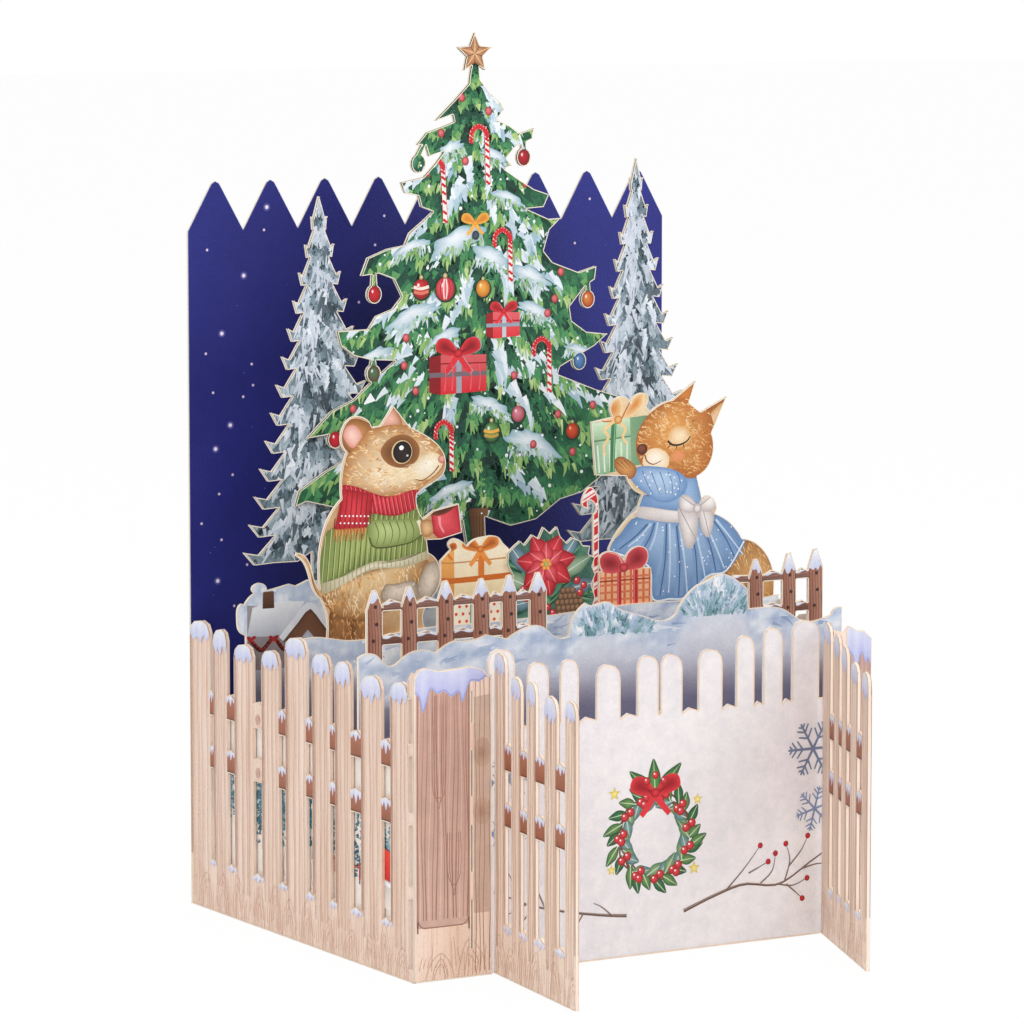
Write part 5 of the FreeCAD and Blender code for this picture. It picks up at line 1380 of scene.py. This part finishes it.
def draw_flowers():
    page = Print("flowers_paint", "flower_arrangement", facing(2 * PITCH), "flower_print")
    needles = ["123a2c", "1f5a40", "3f8a5c", "86b583"]
    for k, (root, angle, length) in enumerate((((57, 70), 120, 12), ((60, 72), 95, 13), ((64, 70), 60, 13),
            ((56, 66), 165, 11), ((66, 67), 15, 11), ((58, 63), 205, 10), ((64, 62), -25, 10), ((61, 66), 75, 14),
            ((58, 60), 230, 8), ((66, 60), -50, 8), ((61, 60), 265, 8))):
        sprig(page, root, angle, length, needles, 80 + k, 0.4)
    grey, grey_dark = "7f9fae", "46626f"
    sage, sage_dark = "a3bd9c", "5f7f62"
    for root, tip, wide, a, b in (((56, 74), (50.6, 81.0), 1.9, grey, grey_dark),
            ((56, 71), (49.4, 74.0), 1.8, sage, sage_dark), ((57, 68), (50.8, 67.0), 1.7, grey, grey_dark),
            ((64, 73), (71.6, 76.8), 1.8, sage, sage_dark), ((64, 76), (68.6, 82.2), 1.6, grey, grey_dark),
            ((66, 70), (73.0, 71.0), 1.6, grey, grey_dark), ((62, 60), (56.0, 57.0), 1.6, sage, sage_dark),
            ((64, 61), (70.4, 58.8), 1.6, grey, grey_dark)):
        leaf(page, root, tip, wide, a, b, "d9e6dc")
    for angle in (10, 60, 118, 170, 222, 278, 325):
        tip = (60.2 + 7.4 * math.cos(math.radians(angle)), 75.6 + 7.0 * math.sin(math.radians(angle)))
        leaf(page, (60.2, 75.6), tip, 2.5, "ee3f4a", "9c1222", "f6888a")
    for angle in (35, 90, 145, 200, 250, 300):
        tip = (60.2 + 4.9 * math.cos(math.radians(angle)), 75.6 + 4.7 * math.sin(math.radians(angle)))
        leaf(page, (60.2, 75.6), tip, 1.8, "f4606a", "b81f30", "fba9a6")
    page.dots([(60.2 + 0.9 * math.cos(a), 75.6 + 0.9 * math.sin(a)) for a in np.linspace(0, 5.2, 6)], 0.42, GOLD)
    page.dots([(60.2, 75.6)], 0.45, "a9c46a")
    for row in range(6):
        z = 69.6 - 1.25 * row
        half = 2.9 * math.sin(math.pi * (row + 1.2) / 7.4)
        for x in np.arange(-half, half + 0.1, 1.15):
            page.oval((65.9 + x + 0.3 * (row % 2), z), 0.78, 0.72, "a9805f", "4a2e1f", 0, (0, 0.35))
    berries(page, [(67.9, 71.6), (69.6, 70.5), (68.7, 69.0), (54.6, 70.6), (53.2, 69.3), (55.3, 68.6), (60.6, 66.3),
        (61.9, 65.0)], 0.85)
    page.finish()


def painted_field(page, low, high, step, colour_at):
    """A fine patch over a rectangle whose colour is a function of place."""
    x, z = np.meshgrid(np.arange(low[0], high[0] + step, step), np.arange(low[1], high[1] + step, step))
    flat = np.stack((x, z), -1)
    page.grid(flat[None], colour_at(flat)[None], page.rise())


def pine(page, at, high, wide, dark, pale, seed):
    """A small painted pine: rows of drooping marks, narrower towards the top, from a dark colour to a pale one, and a
    short trunk.
    """
    dice = np.random.default_rng(seed)
    n = int(high * 7)
    up = np.sort(dice.uniform(0, 1, n) ** 0.9)
    half = wide / 2 * (1 - up) * (0.75 + 0.25 * np.sin(up * high * 1.9))
    across = dice.uniform(-1, 1, n)
    start = np.stack((at[0] + across * half, at[1] + high * (0.06 + 0.92 * up)), -1)
    angle = np.where(across > 0, -0.75, np.pi + 0.75) + dice.normal(0, 0.2, n)
    tone = dice.uniform(0, 1, n) * 0.8 + 0.2 * (across < 0)
    tufts(page, start, angle, dice.uniform(0.8, 1.7, n), dice.uniform(0.4, 0.8, n),
        blend_paint(dark, pale, np.clip(tone, 0, 1)), np.where(across > 0, 0.5, -0.5))
    page.line([(at[0], at[1] - 0.6), (at[0], at[1] + 0.3 * high)], 0.5, dark, 0.2, 4)


def snowflake(page, at, radius, colour, turn=0.0):
    """Six arms with two pairs of barbs each."""
    arms, wide = [], []
    for k in range(6):
        a = math.radians(60 * k + turn)
        run = np.array((math.cos(a), math.sin(a)))
        side = np.array((-run[1], run[0]))
        middle = np.asarray(at, float)
        arms.append([middle, middle + run * radius])
        wide.append(0.10 * radius)
        for reach_to, barb in ((0.42, 0.30), (0.66, 0.26), (0.84, 0.14)):
            for way in (-1, 1):
                root = middle + run * radius * reach_to
                arms.append([root, root + (run * 0.75 + side * way) * radius * barb])
                wide.append(0.075 * radius)
    page.lines(np.array(arms), np.array(wide), colour, np.array(wide) * 0.7, 2)
    page.dots([at], 0.1 * radius, colour)


def twig(page, points, wide, fruit=True):
    """A bare twig in brown with a paler edge, and a berry at its tip."""
    page.line(points, wide, "6b5348", 0.3 * wide, 20)
    page.line(np.asarray(points) + (0, 0.2 * wide), 0.3 * wide, "a58f82", 0.1 * wide, 20)
    if fruit:
        page.oval(points[-1], 0.62, 0.62, "d42a33", "8f1420", 0, (-0.15, 0.2))


def draw_message():
    page = Print("message_print", "message_liner", facing(CARD + GAP), "liner_print", depth=THIN_PRINT)

    def paper(flat):
        z = flat[..., 1]
        return blend_paint("ece6e8", "f3efef", 0.5 + 0.5 * drift(flat, 60.0, 91) - 0.2 * np.clip((z - 50) / 15, 0, 1))

    painted_field(page, (0.0, 0.0), (120.0, 68.0), 2.5, paper)
    middle, ring = np.array((57.5, 24.5)), 8.4
    dice = np.random.default_rng(92)
    for shift, wide in ((0.0, 0.65), (0.7, 0.4), (-0.6, 0.4)):
        turn = np.linspace(0, 2 * np.pi, 40)
        r = ring + 0.5 * np.sin(5 * turn + shift * 3) + shift * 0.5
        page.line(np.stack((middle[0] + r * np.cos(turn), middle[1] + r * np.sin(turn)), -1), wide, "6e4a33", wide,
            120)
    greens = [("6f9a56", "2f5a33"), ("8fae7f", "4f7550"), ("3f7a4a", "1c4a2c"), ("7fa3a0", "476f70")]
    for k in range(46):
        a = 2 * np.pi * k / 46 + dice.normal(0, 0.05)
        root = middle + (ring + dice.normal(0, 0.3)) * np.array((np.cos(a), np.sin(a)))
        lean = a + np.pi / 2 + (0.75 if k % 2 else -0.75)
        tip = root + dice.uniform(3.4, 5.2) * np.array((np.cos(lean), np.sin(lean)))
        pale, dark = greens[k % 4]
        leaf(page, root, tip, 1.15, pale, dark, "d4e2c4")
    for k in range(11):
        a = 2 * np.pi * k / 11 + 0.2
        root = middle + ring * np.array((np.cos(a), np.sin(a)))
        berries(page, [root + (0.7, 0.4), root + (-0.7, -0.5), root + (0.2, -1.1)][:2 + k % 2], 0.95)
    for tip in ((51.2, 38.6), (63.8, 39.4), (57.0, 40.8)):
        leaf(page, (57.5, 33.0), tip, 1.5, "5f9a52", "26532f", "c4dba8")
    bow(page, (57.5, 33.4), 4.6, "e0353e", "9a1220")
    berries(page, [(55.4, 36.2), (59.6, 36.0), (57.5, 37.3)], 0.85)
    for at, radius in (((47.6, 34.2), 1.5), ((67.8, 31.4), 1.3), ((46.9, 18.4), 1.2), ((67.0, 17.0), 1.5)):
        page.wash(star(at, radius, 0.42 * radius), at, "fbf08a", "d6b53a", smooth=False)
    twig(page, [(64.5, 8.2), (72.3, 10.8), (79.5, 12.4), (88.0, 11.6), (96.0, 15.6), (103.5, 19.6)], 0.75)
    for points in ([(75.0, 11.6), (79.5, 15.8), (83.4, 20.2)], [(80.5, 14.6), (83.0, 15.6), (85.4, 16.6)],
            [(89.5, 12.0), (90.8, 16.4), (89.8, 20.0)], [(90.6, 15.2), (93.6, 18.2), (95.3, 21.2)],
            [(94.0, 14.4), (97.8, 15.0), (101.6, 14.6)], [(88.0, 11.6), (91.6, 11.0), (95.2, 12.2)],
            [(90.0, 11.4), (92.4, 9.4), (94.0, 8.0)], [(99.0, 17.2), (102.5, 18.4), (106.5, 21.6)],
            [(83.5, 12.2), (86.4, 14.6), (87.2, 18.2)]):
        twig(page, points, 0.4)
    twig(page, [(50.6, 8.6), (44.2, 9.4), (34.6, 11.2), (26.3, 13.5), (19.6, 16.6)], 0.7)
    for points in ([(47.0, 9.0), (44.6, 11.0), (42.6, 12.0)], [(40.2, 10.2), (38.4, 7.6), (36.8, 6.4)],
            [(31.0, 12.2), (29.0, 16.6), (28.2, 20.0)], [(26.6, 13.4), (23.8, 12.2), (21.0, 11.4)],
            [(28.6, 12.8), (25.6, 9.8), (23.6, 8.2)], [(23.8, 14.6), (23.4, 18.0), (21.8, 21.2)]):
        twig(page, points, 0.38, points[-1][0] < 38)
    for at, radius, code, turn in (((96.5, 39.6), 6.2, "76809a", 0), ((97.0, 26.8), 4.8, "8494b4", 15),
            ((104.6, 33.4), 3.0, "a9b4cc", 10), ((22.4, 39.4), 5.4, "8494b4", 5), ((27.6, 29.6), 3.4, "a9b4cc", 20),
            ((18.6, 28.6), 3.6, "8494b4", 0)):
        snowflake(page, at, radius, code, turn)
    page.finish(0.28, "f6dcc0")


def draw_side_walls():
    for name, way, seed in (("left_liner_paint", -1, 95), ("right_liner_paint", 1, 96)):
        page = Print(name, "message_liner", wall_side(CARD + GAP, way), "liner_print")
        dice = np.random.default_rng(seed)

        def ground(flat, seed=seed):
            x, z = flat[..., 0], flat[..., 1]
            hill = 27 + 0.11 * (x - 30) + 4.0 * np.sin(x * 0.13 + seed)
            slope = np.clip((hill - z) / 2.0, 0, 1) * np.clip((z - 18 - 0.05 * x) / 7.0, 0, 1)
            blue = blend_paint("4f8296", "b4d0d8", np.clip(0.55 + 0.6 * drift(flat, 9.0, seed), 0, 1))
            return blend_paint("fbf3ea", blue, slope)

        painted_field(page, (8.0, 9.0), (97.5, 48.0), 1.1, ground)
        for k in range(26):
            x = 9.5 + 88 * (k + dice.uniform(0.1, 0.9)) / 26
            far = k % 3 == 0
            high = dice.uniform(9, 13) if far else dice.uniform(12, 19)
            z = dice.uniform(17.5, 21.0) + 0.05 * x if far else dice.uniform(14.0, 19.0) + 0.04 * x
            pine(page, (x, z), high, 0.46 * high, "5d8b9c" if far else "1f4a5a", "a9c9d0" if far else "5f97a8",
                seed * 100 + k)
        page.band([(7.6, 18.4), (16.4, 19.4)], [(9.6, 24.6), (14.6, 25.6)], "d22c26", "ef4a38", 4)
        page.band([(8.6, 12.6), (15.6, 13.4)], [(8.6, 18.4), (15.6, 19.3)], "f6efe6", "dcd6d2", 4)
        page.line([(6.6, 18.2), (11.4, 18.0), (17.0, 19.2)], 0.9, SNOW, 0.7, 10)
        for k in range(7):
            x = 18.6 + 2.6 * k
            page.line([(x, 17.2), (x, 20.6)], 0.7, "b5443a", 0.6, 3)
        page.line([(17.6, 19.4), (35.6, 20.0)], 0.45, "a8574a", 0.45, 3)
        for k in range(12):
            x, z = 44 + 4.2 * k, 15.0 + 0.03 * k
            page.line([(x, z - 2.5), (x + 0.6, z), (x + dice.uniform(-1, 2), z + 3.6)], 0.22, "6b5d66", 0.08, 8)
        page.finish(0)


def board_grain(page, x0, x1, top, seed, colour, spacing=7.0):
    """Grain along the foot of a fence: arches of uneven height among leaning lines."""
    dice = np.random.default_rng(seed)
    for at in np.arange(x0 + 0.6, x1, 0.95):
        lean = dice.uniform(-0.5, 0.5) + 0.6 * math.sin(at * 0.5)
        high = top * dice.uniform(0.35, 1.0)
        low = dice.uniform(0.2, 3.0)
        page.line([(at, low), (at + 0.4 * lean, (low + high) / 2), (at + lean, high)], 0.13, colour, 0.07, 8)
    at = x0 + 0.6 * spacing
    while at < x1 - 2:
        high = top * dice.uniform(0.6, 1.0)
        lean = dice.uniform(-0.8, 0.8)
        for k in range(3):
            half = (1.2 + 0.95 * k) * dice.uniform(0.8, 1.1)
            left, right = max(at - half, x0), min(at + half, x1)
            level = high * (1 - 0.20 * (2 - k))
            page.line([(left, 0.3), (left + 0.3 * (at - left), 0.6 * level), (at + lean, level),
                (right - 0.3 * (right - at), 0.6 * level), (right, 0.3)], 0.14, colour, 0.1, 16)
        at += spacing * dice.uniform(0.7, 1.5)


def plank_grain(page, x0, x1, low, top, seed, colour, count=4, wide=0.15):
    """Fine lines up a plank."""
    dice = np.random.default_rng(seed)
    share = (np.arange(count) + dice.uniform(0.2, 0.8, count)) / count
    z = np.linspace(low, top, 9)
    x = x0 + share[:, None] * (x1 - x0) + 0.18 * np.sin(z[None] * 0.23 + dice.uniform(0, 6, (count, 1)))
    page.lines(np.stack((x, np.broadcast_to(z, x.shape)), -1), np.full(count, wide) * dice.uniform(0.7, 1.5, count),
        colour, np.full(count, wide), 22)


def draw_posts():
    pink, pink_dark, grain = "d6b2a3", "c9a091", "a87a6a"
    c, s = math.cos(math.radians(BEND)), math.sin(math.radians(BEND))
    strip = Side((LEFT + BEND_START, FRONT, 0), (c, s, 0), (s, -c, 0))
    for name, node, side, x0, x1, seed in (("left_post_print", "left_fence_side", facing(0), 0.5, 12.9, 101),
            ("right_strip_print", "right_fence_side", strip, 0.4, 12.8, 102)):
        page = Print(name, node, side, "peach_wood")
        dice = np.random.default_rng(seed)
        page.band([(x0, 11.0), (x1, 11.0)], [(x0, 66), (x1, 66)], pink, pink_dark, 20)
        for k in range(15):
            x = x0 + 0.7 + (x1 - x0 - 1.4) * k / 14
            z = np.linspace(12.5, 64.5, 12)
            path = np.stack((x + 0.35 * np.sin(z * 0.12 + k * 0.8) * np.sin(z * 0.045), z), -1)
            page.line(path, dice.uniform(0.12, 0.30), grain if k % 3 else "e3c5b8", 0.1, 40)
        for low, high, at in ((34.0, 58.0, 0.42), (16.0, 30.0, 0.7)):
            middle = x0 + at * (x1 - x0)
            for half in (0.5, 1.0, 1.5):
                page.line([(middle - half, high), (middle - half, low + 6), (middle, low + 2.2 * half),
                    (middle + half, low + 6), (middle + half, high)], 0.17, grain, 0.12, 30)
        page.line([(x0 + 0.3, 62), (x0 + 0.3, 14), (x0 + 0.35, 12.4), (x0 + 1.3, 11.2), (x0 + 3, 11.0),
            (x1 - 3, 11.0), (x1 - 1.3, 11.2), (x1 - 0.35, 12.4), (x1 - 0.3, 14), (x1 - 0.3, 62)], 0.25, grain, 0.25,
            120)
        if name == "left_post_print":
            page.band([(13.7, 13.0), (18.0, 13.0)], [(13.7, 57.0), (18.0, 57.5)], "d3b5a2", "dabfac", 6)
            for low, high in ((31.3, 36.2), (43.0, 48.4)):
                page.oval((15.8, (low + high) / 2), 2.2, (high - low) / 2 + 0.4, "c4a08b", "cfb09c")
                page.oval((15.6, (low + high) / 2), 0.9, 1.3, "b8937e", "c4a08b")
            plank_grain(page, 13.8, 17.8, 1.0, 62.0, 103, "a67f6c", 4, 0.14)
            knots = [(0.2, 60.5), (1.2, 59.6), (2.0, 56.6), (2.9, 58.8), (3.8, 61.2), (5.4, 60.2), (7.0, 60.6),
                (8.6, 59.4), (10.2, 60.2), (11.2, 58.2), (12.2, 60.8), (13.2, 62.2), (15.0, 62.0), (16.5, 62.8),
                (18.0, 62.6)]
        else:
            knots = [(0.0, 60.4), (0.9, 58.8), (1.8, 60.8), (3.4, 60.0), (4.6, 57.0), (5.6, 56.4), (6.8, 59.4),
                (8.4, 60.0), (10.0, 57.8), (11.2, 58.6), (13.1, 56.4)]
        knots = np.array(knots) - (0.0, 1.9)
        page.band(knots, np.stack((knots[:, 0], np.full(len(knots), 68.0)), -1), "b9bde8", "f4f4fd", 70)
        page.line(knots + (0, 0.3), 0.35, "a3a8dc", 0.35, 70)
        board_grain(page, x0, x1 + (5 if name == "left_post_print" else 0), 9.0, seed, "c9a18a", 9.0)
        page.finish(0.25)


draw_fences()
draw_posts()
draw_message()
draw_side_walls()
draw_tree()
draw_spruces()
draw_sky()
draw_snow()
draw_garden_fences()
draw_mouse()
draw_squirrel()
draw_parcels()
draw_checked_parcel()
draw_cane()
draw_flowers()
